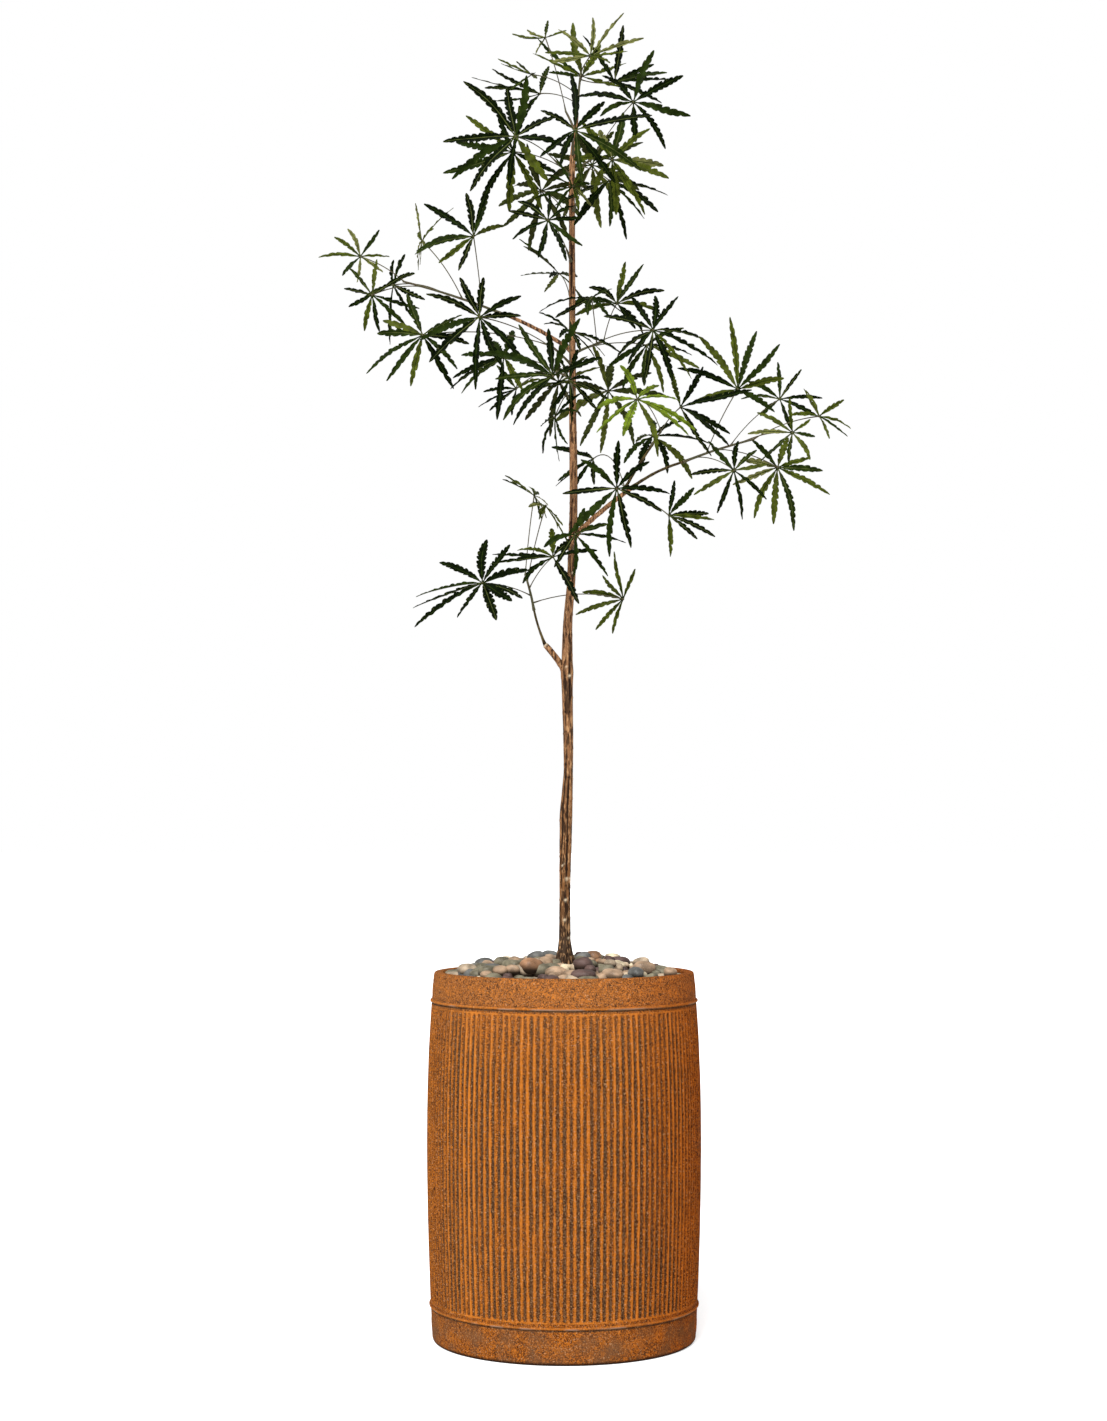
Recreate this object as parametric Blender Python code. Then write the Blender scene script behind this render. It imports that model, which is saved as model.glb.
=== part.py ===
"""A potted false aralia tree: a slim bare trunk with a few boughs of finger-like leaves,
standing in a fluted barrel planter topped with river pebbles.

Metres, +Z up. The origin is the middle of the planter's flat underside and the photograph
looks along +Y. Bearings are degrees round Z: 0 is +X (right), 90 is +Y (back), 180 is left
and 270 is the front. A lift or rise is degrees above level.
"""

import math
import random
from collections import namedtuple

import bmesh
import bpy
import numpy as np
from mathutils import Matrix, Vector

CLEARANCE = 0.0003
SOIL_CLEARANCE = 3.0 * CLEARANCE
BED_CLEARANCE = 4.0 * CLEARANCE
CUTTER_CLEARANCE = 1.5 * CLEARANCE
UP = Vector((0.0, 0.0, 1.0))
TINY = 1e-6

# Planter
POT_HEIGHT = 0.610
RIM_RADIUS = 0.2157
BELLY_RADIUS = 0.2277
BELLY_HEIGHT = 0.340
FOOT_RADIUS = 0.2183
FOOT_ROUNDING = 0.006
FOOT_ARC_SHARE = 0.3
LIP_ROUNDING = 0.004
INNER_LIP_ROUNDING = 0.003
WALL = 0.016
FLOOR_THICKNESS = 0.020
BEAD_RADIUS = 0.0026
BEAD_CORNERS = (90, 20, -20, -90)
UPPER_BEAD_HEIGHT = 0.5626
LOWER_BEAD_HEIGHT = 0.060
POT_SEGMENTS = 48
WALL_RINGS = 6
INNER_RINGS = 4

# Soil and pebbles
SOIL_TOP = 0.566
PEBBLE_EDGE_HEIGHT = 0.590
PEBBLE_DOME_RISE = 0.030
PEBBLE_COUNT = 46
PEBBLE_LENGTH = (0.046, 0.058)
PEBBLE_WIDTH_SHARE = (0.72, 0.86)
PEBBLE_DEPTH_SHARE = (0.52, 0.62)
PEBBLE_TIP = 0.25
PEBBLE_STAND = 0.003
PEBBLE_MARGIN = 0.024
PEBBLE_SEED = 11
SPIRAL_START = 0.9
BED_SEGMENTS = 24
BED_RINGS = 4
GOLDEN_ANGLE = math.pi * (3.0 - math.sqrt(5.0))

# Trunk: height, sideways lean and radius at the places where its outline changes
Station = namedtuple("Station", "height lean radius")
TRUNK = (
    Station(SOIL_TOP + CLEARANCE, 0.0000, 0.0270),
    Station(0.600, 0.0005, 0.0225),
    Station(0.628, 0.0008, 0.0165),
    Station(0.643, 0.0010, 0.0125),
    Station(0.662, 0.0011, 0.0098),
    Station(0.728, 0.0015, 0.0091),
    Station(0.868, 0.0033, 0.0105),
    Station(0.947, 0.0072, 0.0077),
    Station(1.107, 0.0050, 0.0095),
    Station(1.193, 0.0066, 0.0076),
    Station(1.260, 0.0120, 0.0069),
    Station(1.390, 0.0158, 0.0066),
    Station(1.560, 0.0141, 0.0058),
    Station(1.890, 0.0133, 0.0050),
    Station(1.950, 0.0140, 0.0052),
    Station(2.036, 0.0212, 0.0032),
)
TRUNK_RING_STEP = 0.065
TRUNK_SIDES = 10
ROOT_LOBES = 3
ROOT_LOBE_DEPTH = 0.16
ROOT_LOBE_TURN = 0.6
ROOT_LOBE_HEIGHT = 0.13
CUTTER_OVERRUN = 0.004

# Boughs: at is a height on the trunk or a share of the host bough's length
Bough = namedtuple("Bough", "name host at bearing rise tip_rise length radius tip_radius")
BOUGHS = (
    Bough("bough_low_left", "trunk", 1.104, 180, 58, 48, 0.060, 0.0056, 0.0047),
    Bough("shoot_low_left", "bough_low_left", 1.0, 182, 66, 78, 0.060, 0.0020, 0.0018),
    Bough("bough_left", "trunk", 1.640, 180, 36, 20, 0.134, 0.0036, 0.0026),
    Bough("bough_right", "trunk", 1.331, 0, 44, 36, 0.126, 0.0044, 0.0036),
    Bough("bough_right_long", "bough_right", 1.0, 2, 38, 16, 0.098, 0.0026, 0.0020),
    Bough("bough_right_upper", "bough_right", 0.90, 0, 60, 56, 0.088, 0.0024, 0.0020),
)
BOUGH_SIDES = 8
BOUGH_STEPS = 5
TRUNK_LOOK_AHEAD = 0.01
BOUGH_LOOK_BACK = 0.02
LIMB_SMOOTH_ANGLE = 50

# Leaf sizes shared by all the foliage
LEAFLET_WIDTH_SHARE = 0.100
LEAFLET_THICKNESS_SHARE = 1.0 / 55.0
LONG_STATIONS = ((0.42, 1.0), (0.78, 0.72))
SHORT_STATIONS = ((0.50, 1.0),)
SHORT_SPAN = 0.085
UNEVENNESS = 0.17
LEAFLET_LENGTH_SPREAD = 0.16
LEAFLET_TURN_SPREAD = math.radians(9)
LEAFLET_PITCH_SPREAD = math.radians(20)
DROOP_SPREAD = 0.6
HUB_RADIUS = 0.0045
HUB_THICKNESS = 0.0026
WIDEST_HUB_SIDE = 100.0
STALK_RADIUS = 0.0016
STALK_STEPS = 3
STALK_SIDES = 3
STALK_BOWS = (0.06, 0.16, -0.06, 0.28)
LAST_STALK_SHARE = 0.985
STEM_SIDES = 4
STEM_STEPS = 4
STEM_BEND = -8
STEM_FOOT_RADIUS = 1.35 * STALK_RADIUS
STEM_TIP_RADIUS = 1.10 * STALK_RADIUS
TWIG_GAP = 0.0015
FOLIAGE_SMOOTH_ANGLE = 40
FOLIAGE_SEED = 1000

# Shares of its length and of its bend that a leaflet tries in turn, until one fits
LEAFLET_TRIALS = ((1.0, 1.0), (1.0, 0.4), (1.0, 1.7), (0.82, 1.0), (0.82, 0.3), (0.64, 1.0))
TRIAL_SHARES = (0.0, 0.33, 0.66, 1.0)

# Foliage: each mass has one stem, with its leaf stalks spaced evenly along it. A leaf row
# gives its stalk's bearing, lift and length, the bearing its blade faces, how far the blade
# tilts from level towards that bearing, which way round from the blade's top its longest
# leaflets lie, clockwise as its face is seen, the sweep its leaflets are spread over, and
# their count and length.
Leaf = namedtuple("Leaf", "bearing lift reach facing tilt lead sweep count span")
Mass = namedtuple("Mass", "name host at bearing rise length droop curl colour leaves")
DARK = (0.035, 0.085, 0.020)
OLIVE = (0.150, 0.180, 0.040)
MIXED = (0.090, 0.140, 0.030)
MASSES = (
    Mass("foliage_crown_right", "trunk", 1.941, 350, 35, 0.035, 0.30, 0.16, OLIVE, (
        Leaf(340, -30, 0.057, 280, 60, 180, 180, 8, 0.106),
        Leaf(292, -12, 0.106, 280, 70, 75, 300, 11, 0.106),
        Leaf(356, 54, 0.114, 268, 82, 35, 310, 8, 0.106),
    )),
    Mass("foliage_crown_tip", "trunk", TRUNK[-1].height, 75, 74, 0.082, 0.25, -0.30, OLIVE, (
        Leaf(130, 22, 0.105, 270, 34, -75, 170, 7, 0.112),
        Leaf(135, 28, 0.125, 270, 28, -90, 230, 6, 0.060),
        Leaf(70, 56, 0.028, 280, 58, 10, 260, 8, 0.118),
        Leaf(30, 5, 0.068, 280, 62, 50, 150, 6, 0.108),
        Leaf(300, 31, 0.036, 262, 54, 15, 270, 8, 0.090),
    )),
    Mass("foliage_crown_curl", "trunk", 2.010, 130, 62, 0.040, 0.30, -0.50, OLIVE, (
        Leaf(131, 69, 0.146, 250, 40, -70, 250, 6, 0.056),
    )),
    Mass("foliage_crown_left", "trunk", 1.932, 225, 30, 0.035, 0.22, 0.16, DARK, (
        Leaf(214, 7, 0.100, 266, 72, -115, 280, 9, 0.118),
        Leaf(235, 8, 0.116, 262, 84, -60, 330, 10, 0.122),
    )),
    Mass("foliage_crown_front", "trunk", 1.966, 270, 40, 0.030, 0.35, 0.20, DARK, (
        Leaf(271, -9, 0.133, 272, 70, 90, 340, 10, 0.112),
    )),
    Mass("foliage_crown_back", "trunk", 1.840, 95, 40, 0.040, 0.45, 0.20, DARK, (
        Leaf(75, 44, 0.200, 85, 60, 180, 360, 9, 0.116),
        Leaf(108, 30, 0.180, 110, 65, 180, 360, 9, 0.112),
    )),
    Mass("foliage_crown_knot", "trunk", 1.872, 290, 35, 0.020, 0.10, 0.60, OLIVE, (
        Leaf(262, 15, 0.052, 285, 62, -60, 360, 9, 0.062),
    )),
    Mass("foliage_collar_front", "trunk", 1.788, 250, 40, 0.025, 0.22, 0.15, DARK, (
        Leaf(255, 10, 0.122, 266, 82, 160, 360, 9, 0.080),
    )),
    Mass("foliage_collar_back", "trunk", 1.725, 100, 40, 0.025, 0.25, 0.10, OLIVE, (
        Leaf(100, 30, 0.112, 340, 32, 0, 300, 8, 0.100),
    )),
    Mass("foliage_left_tip", "bough_left", 1.0, 180, 22, 0.172, 0.25, 0.15, DARK, (
        Leaf(253, 68, 0.114, 270, 74, -58, 240, 8, 0.100),
        Leaf(126, 44, 0.172, 205, 80, 10, 330, 8, 0.080),
        Leaf(138, 14, 0.122, 210, 80, 180, 350, 9, 0.094),
        Leaf(217, -15, 0.104, 290, 78, 90, 340, 9, 0.080),
        Leaf(165, 31, 0.090, 262, 74, -30, 330, 8, 0.068),
    )),
    Mass("foliage_left_front", "trunk", 1.618, 235, 25, 0.060, 0.25, 0.16, DARK, (
        Leaf(215, 15, 0.166, 270, 80, -150, 350, 10, 0.112),
        Leaf(194, 2, 0.215, 262, 76, -165, 300, 10, 0.104),
    )),
    Mass("foliage_middle_left", "trunk", 1.596, 140, 30, 0.040, 0.25, 0.18, DARK, (
        Leaf(113, 2, 0.200, 250, 60, -80, 260, 7, 0.070),
        Leaf(132, 17, 0.132, 262, 52, -100, 230, 8, 0.122),
    )),
    Mass("foliage_middle_front", "trunk", 1.566, 265, 35, 0.050, 0.35, 0.20, DARK, (
        Leaf(255, -30, 0.124, 218, 78, 180, 340, 7, 0.072),
        Leaf(268, -7, 0.124, 290, 70, 120, 320, 8, 0.074),
        Leaf(260, -8, 0.167, 262, 74, -40, 200, 8, 0.108),
        Leaf(269, 39, 0.093, 320, 50, 130, 350, 9, 0.092),
    )),
    Mass("foliage_middle_right", "trunk", 1.638, 0, 25, 0.050, 0.30, 0.18, DARK, (
        Leaf(25, 8, 0.120, 280, 66, 150, 240, 7, 0.092),
        Leaf(322, 5, 0.130, 272, 58, 95, 340, 11, 0.108),
        Leaf(253, 66, 0.077, 275, 34, -100, 330, 8, 0.086),
        Leaf(78, 36, 0.150, 268, 66, 30, 280, 9, 0.100),
    )),
    Mass("foliage_middle_back", "trunk", 1.520, 90, 35, 0.050, 0.30, 0.20, DARK, (
        Leaf(70, 22, 0.200, 75, 62, 180, 360, 9, 0.118),
        Leaf(98, 26, 0.186, 112, 48, 180, 360, 9, 0.104),
    )),
    Mass("foliage_right_tip", "bough_right_long", 1.0, 2, 22, 0.125, 0.22, 0.16, MIXED, (
        Leaf(299, -17, 0.124, 270, 84, -160, 360, 9, 0.082),
        Leaf(325, 59, 0.117, 275, 82, 5, 240, 8, 0.108),
        Leaf(24, -12, 0.115, 266, 84, 170, 330, 10, 0.100),
        Leaf(36, 39, 0.140, 285, 68, 20, 330, 8, 0.076),
        Leaf(319, 3, 0.102, 270, 70, -110, 340, 8, 0.066),
        Leaf(7, 20, 0.119, 290, 66, 50, 290, 7, 0.068),
    )),
    Mass("foliage_right_centre", "bough_right_upper", 1.0, 10, 60, 0.030, 0.25, 0.20, MIXED, (
        Leaf(90, 14, 0.082, 275, 34, 105, 280, 9, 0.114),
        Leaf(304, 32, 0.074, 280, 60, 78, 170, 7, 0.108),
        Leaf(258, 4, 0.228, 272, 42, 110, 350, 10, 0.110),
    )),
    Mass("foliage_right_low", "bough_right", 0.90, 275, 5, 0.020, 0.22, 0.16, DARK, (
        Leaf(353, -29, 0.083, 278, 60, 92, 210, 7, 0.088),
        Leaf(107, 24, 0.192, 255, 50, -120, 180, 6, 0.080),
        Leaf(262, -6, 0.138, 270, 84, -165, 360, 9, 0.104),
    )),
    Mass("foliage_trunk_tuft", "trunk", 1.306, 280, 35, 0.020, 0.30, 0.20, DARK, (
        Leaf(270, 6, 0.077, 275, 66, 140, 290, 7, 0.080),
    )),
    Mass("foliage_low_left", "shoot_low_left", 1.0, 176, 80, 0.062, 0.18, 0.14, DARK, (
        Leaf(38, 5, 0.196, 258, 78, -75, 210, 7, 0.080),
        Leaf(194, 13, 0.085, 250, 38, -98, 360, 12, 0.130),
        Leaf(296, 26, 0.100, 262, 46, -130, 340, 10, 0.104),
        Leaf(297, 60, 0.136, 345, 40, 160, 300, 7, 0.070),
        Leaf(82, 55, 0.177, 345, 38, 0, 330, 8, 0.070),
    )),
)


def clear_scene():
    """Remove whatever the file holds, so the plant stands alone."""
    for item in list(bpy.data.objects):
        bpy.data.objects.remove(item, do_unlink=True)


def plain_material(name, colour, roughness):
    """One Principled material with a plain colour."""
    material = bpy.data.materials.new(name)
    material.use_nodes = True
    shader = material.node_tree.nodes["Principled BSDF"]
    shader.inputs["Base Color"].default_value = (*colour, 1.0)
    shader.inputs["Roughness"].default_value = roughness
    return material


def add_object(name, bm, material, smooth_angle=None):
    """Turn a bmesh into a named object with its material."""
    bmesh.ops.recalc_face_normals(bm, faces=bm.faces)
    mesh = bpy.data.meshes.new(name)
    bm.to_mesh(mesh)
    bm.free()
    mesh.materials.append(material)
    if smooth_angle is not None:
        mesh.shade_smooth()
        mesh.set_sharp_from_angle(angle=math.radians(smooth_angle))
    item = bpy.data.objects.new(name, mesh)
    bpy.context.scene.collection.objects.link(item)
    return item


def hide_cutter(item):
    item.hide_render = True
    item.display_type = "WIRE"


def cut_with(item, cutter, name):
    modifier = item.modifiers.new(name, "BOOLEAN")
    modifier.operation = "DIFFERENCE"
    modifier.solver = "EXACT"
    modifier.object = cutter


def direction(bearing, rise):
    """The unit vector at a bearing and a rise, both in degrees."""
    turn = math.radians(bearing)
    lift = math.radians(rise)
    level = math.cos(lift)
    return Vector((math.cos(turn) * level, math.sin(turn) * level, math.sin(lift)))


def across(vector, axis):
    """The part of a vector that is square to an axis."""
    return vector - axis * vector.dot(axis)


def arc_point(start, heading, toward, bend, length, share):
    """A point on a circular arc that leaves start along heading and bends towards toward."""
    if abs(bend) < TINY:
        return start + heading * (length * share)
    radius = length / bend
    turned = bend * share
    sideways = radius * (1.0 - math.cos(turned))
    return start + heading * (radius * math.sin(turned)) + toward * sideways


def smooth_between(before, first, second, after, share):
    """Catmull-Rom value between first and second."""
    squared = share * share
    cubed = squared * share
    return 0.5 * (
        2.0 * first
        + (second - before) * share
        + (2.0 * before - 5.0 * first + 4.0 * second - after) * squared
        + (3.0 * first - before - 3.0 * second + after) * cubed
    )


def trunk_at(height):
    """Centre and radius of the trunk at a height."""
    last = len(TRUNK) - 1
    height = min(max(height, TRUNK[0].height), TRUNK[last].height)
    step = max(i for i in range(last) if TRUNK[i].height <= height)
    low, high = TRUNK[step], TRUNK[step + 1]
    before, after = TRUNK[max(step - 1, 0)], TRUNK[min(step + 2, last)]
    share = (height - low.height) / (high.height - low.height)
    lean = smooth_between(before.lean, low.lean, high.lean, after.lean, share)
    radius = low.radius + (high.radius - low.radius) * share
    return Vector((lean, 0.0, height)), radius


def trunk_heights():
    """Ring heights: every station, with even steps between them."""
    heights = []
    for low, high in zip(TRUNK, TRUNK[1:]):
        rise = high.height - low.height
        steps = max(1, round(rise / TRUNK_RING_STEP))
        heights += [low.height + rise * i / steps for i in range(steps)]
    return heights + [TRUNK[-1].height]


def ring_corners(centre, side, other, radius, sides, lobe_depth=0.0):
    corners = []
    for i in range(sides):
        turn = 2.0 * math.pi * i / sides
        reach = radius * (1.0 + lobe_depth * math.cos(ROOT_LOBES * turn + ROOT_LOBE_TURN))
        corners.append(centre + side * (reach * math.cos(turn)) + other * (reach * math.sin(turn)))
    return corners


def skin_rings(bm, rings):
    """Side faces between rings of corners, with a flat face at each end."""
    rows = [[bm.verts.new(corner) for corner in ring] for ring in rings]
    for row, following in zip(rows, rows[1:]):
        for i in range(len(row)):
            j = (i + 1) % len(row)
            bm.faces.new((row[i], row[j], following[j], following[i]))
    bm.faces.new(list(reversed(rows[0])))
    bm.faces.new(rows[-1])


def tube_rings(points, radii, sides, first_axis):
    """Rings square to a path, the first one square to first_axis."""
    rings = []
    side = first_axis.orthogonal().normalized()
    for i, (centre, radius) in enumerate(zip(points, radii)):
        if i == 0:
            axis = first_axis
        elif i == len(points) - 1:
            axis = (points[i] - points[i - 1]).normalized()
        else:
            axis = (points[i + 1] - points[i - 1]).normalized()
        side = across(side, axis).normalized()
        rings.append(ring_corners(centre, side, axis.cross(side), radius, sides))
    return rings


def trunk_mesh(grow):
    """The trunk, or with grow above zero the clearance solid around it."""
    bm = bmesh.new()
    right = Vector((1.0, 0.0, 0.0))
    back = Vector((0.0, 1.0, 0.0))
    rings = []
    for height in trunk_heights():
        centre, radius = trunk_at(height)
        flare = max(0.0, 1.0 - (height - TRUNK[0].height) / ROOT_LOBE_HEIGHT)
        lobes = ROOT_LOBE_DEPTH * flare
        rings.append(ring_corners(centre, right, back, radius + grow, TRUNK_SIDES, lobes))
    if grow:
        rings.insert(0, [corner - UP * CUTTER_OVERRUN for corner in rings[0]])
    skin_rings(bm, rings)
    bmesh.ops.triangulate(bm, faces=bm.faces, quad_method="FIXED")
    return bm


def make_trunk(material):
    return add_object("trunk", trunk_mesh(0.0), material, LIMB_SMOOTH_ANGLE)


def make_trunk_clearance(material):
    cutter = add_object("trunk_clearance", trunk_mesh(CUTTER_CLEARANCE), material)
    hide_cutter(cutter)
    return cutter


def bough_radius(bough, share):
    return bough.radius + (bough.tip_radius - bough.radius) * share


def host_at(host, at):
    """Centre, radius and heading of the trunk or of a bough at a place along it."""
    if host == "trunk":
        centre, radius = trunk_at(at)
        above, _ = trunk_at(at + TRUNK_LOOK_AHEAD)
        heading = (above - centre).normalized() if above != centre else UP
        return centre, radius, heading
    bough = next(b for b in BOUGHS if b.name == host)
    ahead = bough_point(bough, at)
    behind = bough_point(bough, at - BOUGH_LOOK_BACK)
    return ahead, bough_radius(bough, at), (ahead - behind).normalized()


def rooting(host, at, bearing, rise):
    """Where a limb starts on its host, clear of it, and the axis of its first ring."""
    centre, host_radius, heading = host_at(host, at)
    leaving = direction(bearing, rise)
    is_tip = at >= (TRUNK[-1].height if host == "trunk" else 1.0)
    if is_tip:
        return centre + heading * CLEARANCE, heading
    outward = across(leaving, heading).normalized()
    return centre + outward * (host_radius + CLEARANCE), outward


def bough_start(bough):
    """A bough on the trunk starts inside it and is cut clear; any other meets its host."""
    if bough.host == "trunk":
        return trunk_at(bough.at)[0], direction(bough.bearing, bough.rise)
    return rooting(bough.host, bough.at, bough.bearing, bough.rise)


def bough_point(bough, share):
    start, _ = bough_start(bough)
    heading = direction(bough.bearing, bough.rise)
    toward = direction(bough.bearing, bough.rise + 90.0)
    bend = math.radians(bough.tip_rise - bough.rise)
    return arc_point(start, heading, toward, bend, bough.length, share)


def make_bough(bough, material, trunk_cutter):
    _, first_axis = bough_start(bough)
    shares = [i / BOUGH_STEPS for i in range(BOUGH_STEPS + 1)]
    points = [bough_point(bough, share) for share in shares]
    radii = [bough_radius(bough, share) for share in shares]
    bm = bmesh.new()
    skin_rings(bm, tube_rings(points, radii, BOUGH_SIDES, first_axis))
    item = add_object(bough.name, bm, material, LIMB_SMOOTH_ANGLE)
    if bough.host == "trunk":
        cut_with(item, trunk_cutter, "Clear of trunk")
    return item


class Occupied:
    """Every limb and leaflet placed so far, as thick line pieces, to keep the masses apart."""

    def __init__(self):
        self.starts = []
        self.ends = []
        self.radii = []
        self.owners = []

    def add(self, owner, points, radius):
        for first, second in zip(points, points[1:]):
            self.starts.append(tuple(first))
            self.ends.append(tuple(second))
            self.radii.append(radius)
            self.owners.append(owner)

    def is_free(self, owner, points, radius):
        """Whether a line of points stays clear of everything that other owners placed."""
        keep = [i for i, name in enumerate(self.owners) if name != owner]
        if not keep:
            return True
        starts = np.array([self.starts[i] for i in keep])
        ends = np.array([self.ends[i] for i in keep])
        radii = np.array([self.radii[i] for i in keep])
        for first, second in zip(points, points[1:]):
            gaps = piece_gaps(np.array(first), np.array(second), starts, ends)
            if (gaps < radii + radius + TWIG_GAP).any():
                return False
        return True


def piece_gaps(first, second, starts, ends):
    """Shortest distances from one line piece to many others."""
    along = second - first
    others = ends - starts
    between = first - starts
    along_squared = along @ along
    others_squared = np.einsum("ij,ij->i", others, others)
    mixed = others @ along
    from_along = between @ along
    from_others = np.einsum("ij,ij->i", others, between)
    spread = along_squared * others_squared - mixed * mixed
    crossing = spread > TINY * TINY
    safe = np.where(crossing, spread, 1.0)
    share = np.where(crossing, (mixed * from_others - from_along * others_squared) / safe, 0.0)
    share = np.clip(share, 0.0, 1.0)
    other_share = np.clip((mixed * share + from_others) / others_squared, 0.0, 1.0)
    share = np.clip((mixed * other_share - from_along) / along_squared, 0.0, 1.0)
    nearest = between + share[:, None] * along - other_share[:, None] * others
    return np.sqrt(np.einsum("ij,ij->i", nearest, nearest))


def stem_point(mass, share):
    start, _ = rooting(mass.host, mass.at, mass.bearing, mass.rise)
    return arc_point(
        start,
        direction(mass.bearing, mass.rise),
        direction(mass.bearing, mass.rise + 90.0),
        math.radians(STEM_BEND),
        mass.length,
        share,
    )


def stem_share(mass, index):
    """Leaf stalks leave the stem at even steps, the last one from its tip."""
    return (index + 1.0) / len(mass.leaves)


def stalk_path(mass, index, steps, bow):
    """A leaf stalk from the stem to its leaf's hub, bowed a little upwards."""
    leaf = mass.leaves[index]
    foot = stem_point(mass, min(stem_share(mass, index), LAST_STALK_SHARE))
    chord = direction(leaf.bearing, leaf.lift)
    lift = across(UP, chord)
    height = 4.0 * bow * leaf.reach
    return [
        foot + chord * (leaf.reach * i / steps) + lift * (height * (i / steps) * (1.0 - i / steps))
        for i in range(steps + 1)
    ]


def leaflets_of(mass, index, rng):
    """A leaf's blade axes, and the heading, length and bend of each leaflet round its hub."""
    leaf = mass.leaves[index]
    tilt = math.radians(leaf.tilt)
    normal = UP * math.cos(tilt) + direction(leaf.facing, 0.0) * math.sin(tilt)
    top = across(UP, normal).normalized()
    lead = math.radians(leaf.lead)
    toward = top * math.cos(lead) + top.cross(normal) * math.sin(lead)
    beside = normal.cross(toward)
    found = []
    for i in range(leaf.count):
        turn = math.radians(leaf.sweep) * ((i + 0.5) / leaf.count - 0.5)
        longest = 1.0 - UNEVENNESS * (1.0 - math.cos(turn))
        unlike = 1.0 + rng.uniform(-LEAFLET_LENGTH_SPREAD, LEAFLET_LENGTH_SPREAD)
        length = leaf.span * longest * unlike
        wander = turn + rng.uniform(-LEAFLET_TURN_SPREAD, LEAFLET_TURN_SPREAD)
        pitch = rng.uniform(-LEAFLET_PITCH_SPREAD, LEAFLET_PITCH_SPREAD)
        level = toward * math.cos(wander) + beside * math.sin(wander)
        heading = level * math.cos(pitch) + normal * math.sin(pitch)
        droop = mass.droop * (1.0 + rng.uniform(-DROOP_SPREAD, DROOP_SPREAD))
        curl = mass.curl * (1.0 + rng.uniform(-DROOP_SPREAD, DROOP_SPREAD))
        pull = across(-UP, heading) * droop - across(normal, heading) * curl
        found.append((heading, length, pull))
    return toward, beside, normal, found


def leaflet_points(hub, heading, length, pull, shares):
    bend = pull.length
    toward = pull / bend if bend > TINY else pull
    start = hub + heading * HUB_RADIUS
    return [arc_point(start, heading, toward, bend, length - HUB_RADIUS, share) for share in shares]


def fitting_leaflet(occupied, owner, hub, heading, length, pull, width):
    """The first of a few trial shapes that stays clear of the other masses and limbs, or None."""
    for shorter, more in LEAFLET_TRIALS:
        trial = leaflet_points(hub, heading, length * shorter, pull * more, TRIAL_SHARES)
        if occupied.is_free(owner, trial, width * 0.5):
            return length * shorter, pull * more, trial
    return None


def free_stalk(mass, index, occupied):
    """The least bowed stalk that stays clear of the other masses and limbs, or None."""
    for bow in STALK_BOWS:
        trial = stalk_path(mass, index, STALK_STEPS, bow)
        tested = trial[1:] if index == 0 else trial
        if occupied.is_free(mass.name, tested, STALK_RADIUS):
            return trial
    return None


def grow_mass(mass, number, occupied):
    """Plan a mass's leaves: each one's stalk, hub and leaflets, skipping what doesn't fit."""
    rng = random.Random(FOLIAGE_SEED + number)
    leaves = []
    for index, leaf in enumerate(mass.leaves):
        path = free_stalk(mass, index, occupied)
        toward, beside, normal, found = leaflets_of(mass, index, rng)
        if path is None:
            continue
        hub = path[-1]
        width = leaf.span * LEAFLET_WIDTH_SHARE
        placed = []
        for heading, length, pull in found:
            fitted = fitting_leaflet(occupied, mass.name, hub, heading, length, pull, width)
            placed.append((heading, fitted))
        leaves.append((path, leaf.sweep, (toward, beside, normal), width, placed))
    for path, _, _, width, placed in leaves:
        occupied.add(mass.name, path, STALK_RADIUS)
        for _, fitted in placed:
            if fitted:
                occupied.add(mass.name, fitted[2], width * 0.5)
    return leaves


def hub_turns(sweep, count):
    """Where a hub's corners lie: one side to each leaflet, and bare sides over the rest."""
    turns = [sweep * (i / count - 0.5) for i in range(count)]
    bare = 360.0 - sweep
    bare_sides = math.ceil(bare / WIDEST_HUB_SIDE)
    turns += [sweep * 0.5 + bare * i / bare_sides for i in range(bare_sides)]
    return [math.radians(turn) for turn in turns]


def add_fan(bm, hub, sweep, axes, width, placed):
    """A leaf as one closed shape: a thin many-sided hub whose sides run out into leaflets."""
    toward, beside, normal = axes
    half = normal * (HUB_THICKNESS * 0.5)
    corners = []
    for turn in hub_turns(sweep, len(placed)):
        outward = toward * math.cos(turn) + beside * math.sin(turn)
        corners.append(hub + outward * HUB_RADIUS)
    tops = [bm.verts.new(corner + half) for corner in corners]
    bottoms = [bm.verts.new(corner - half) for corner in corners]
    bm.faces.new(tops)
    bm.faces.new(list(reversed(bottoms)))
    for i in range(len(corners)):
        j = (i + 1) % len(corners)
        root = (tops[i], tops[j], bottoms[j], bottoms[i])
        heading, fitted = placed[i] if i < len(placed) else (None, None)
        if fitted:
            add_leaflet(bm, root, hub, heading, normal, fitted, width)
        else:
            bm.faces.new(root)


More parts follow.
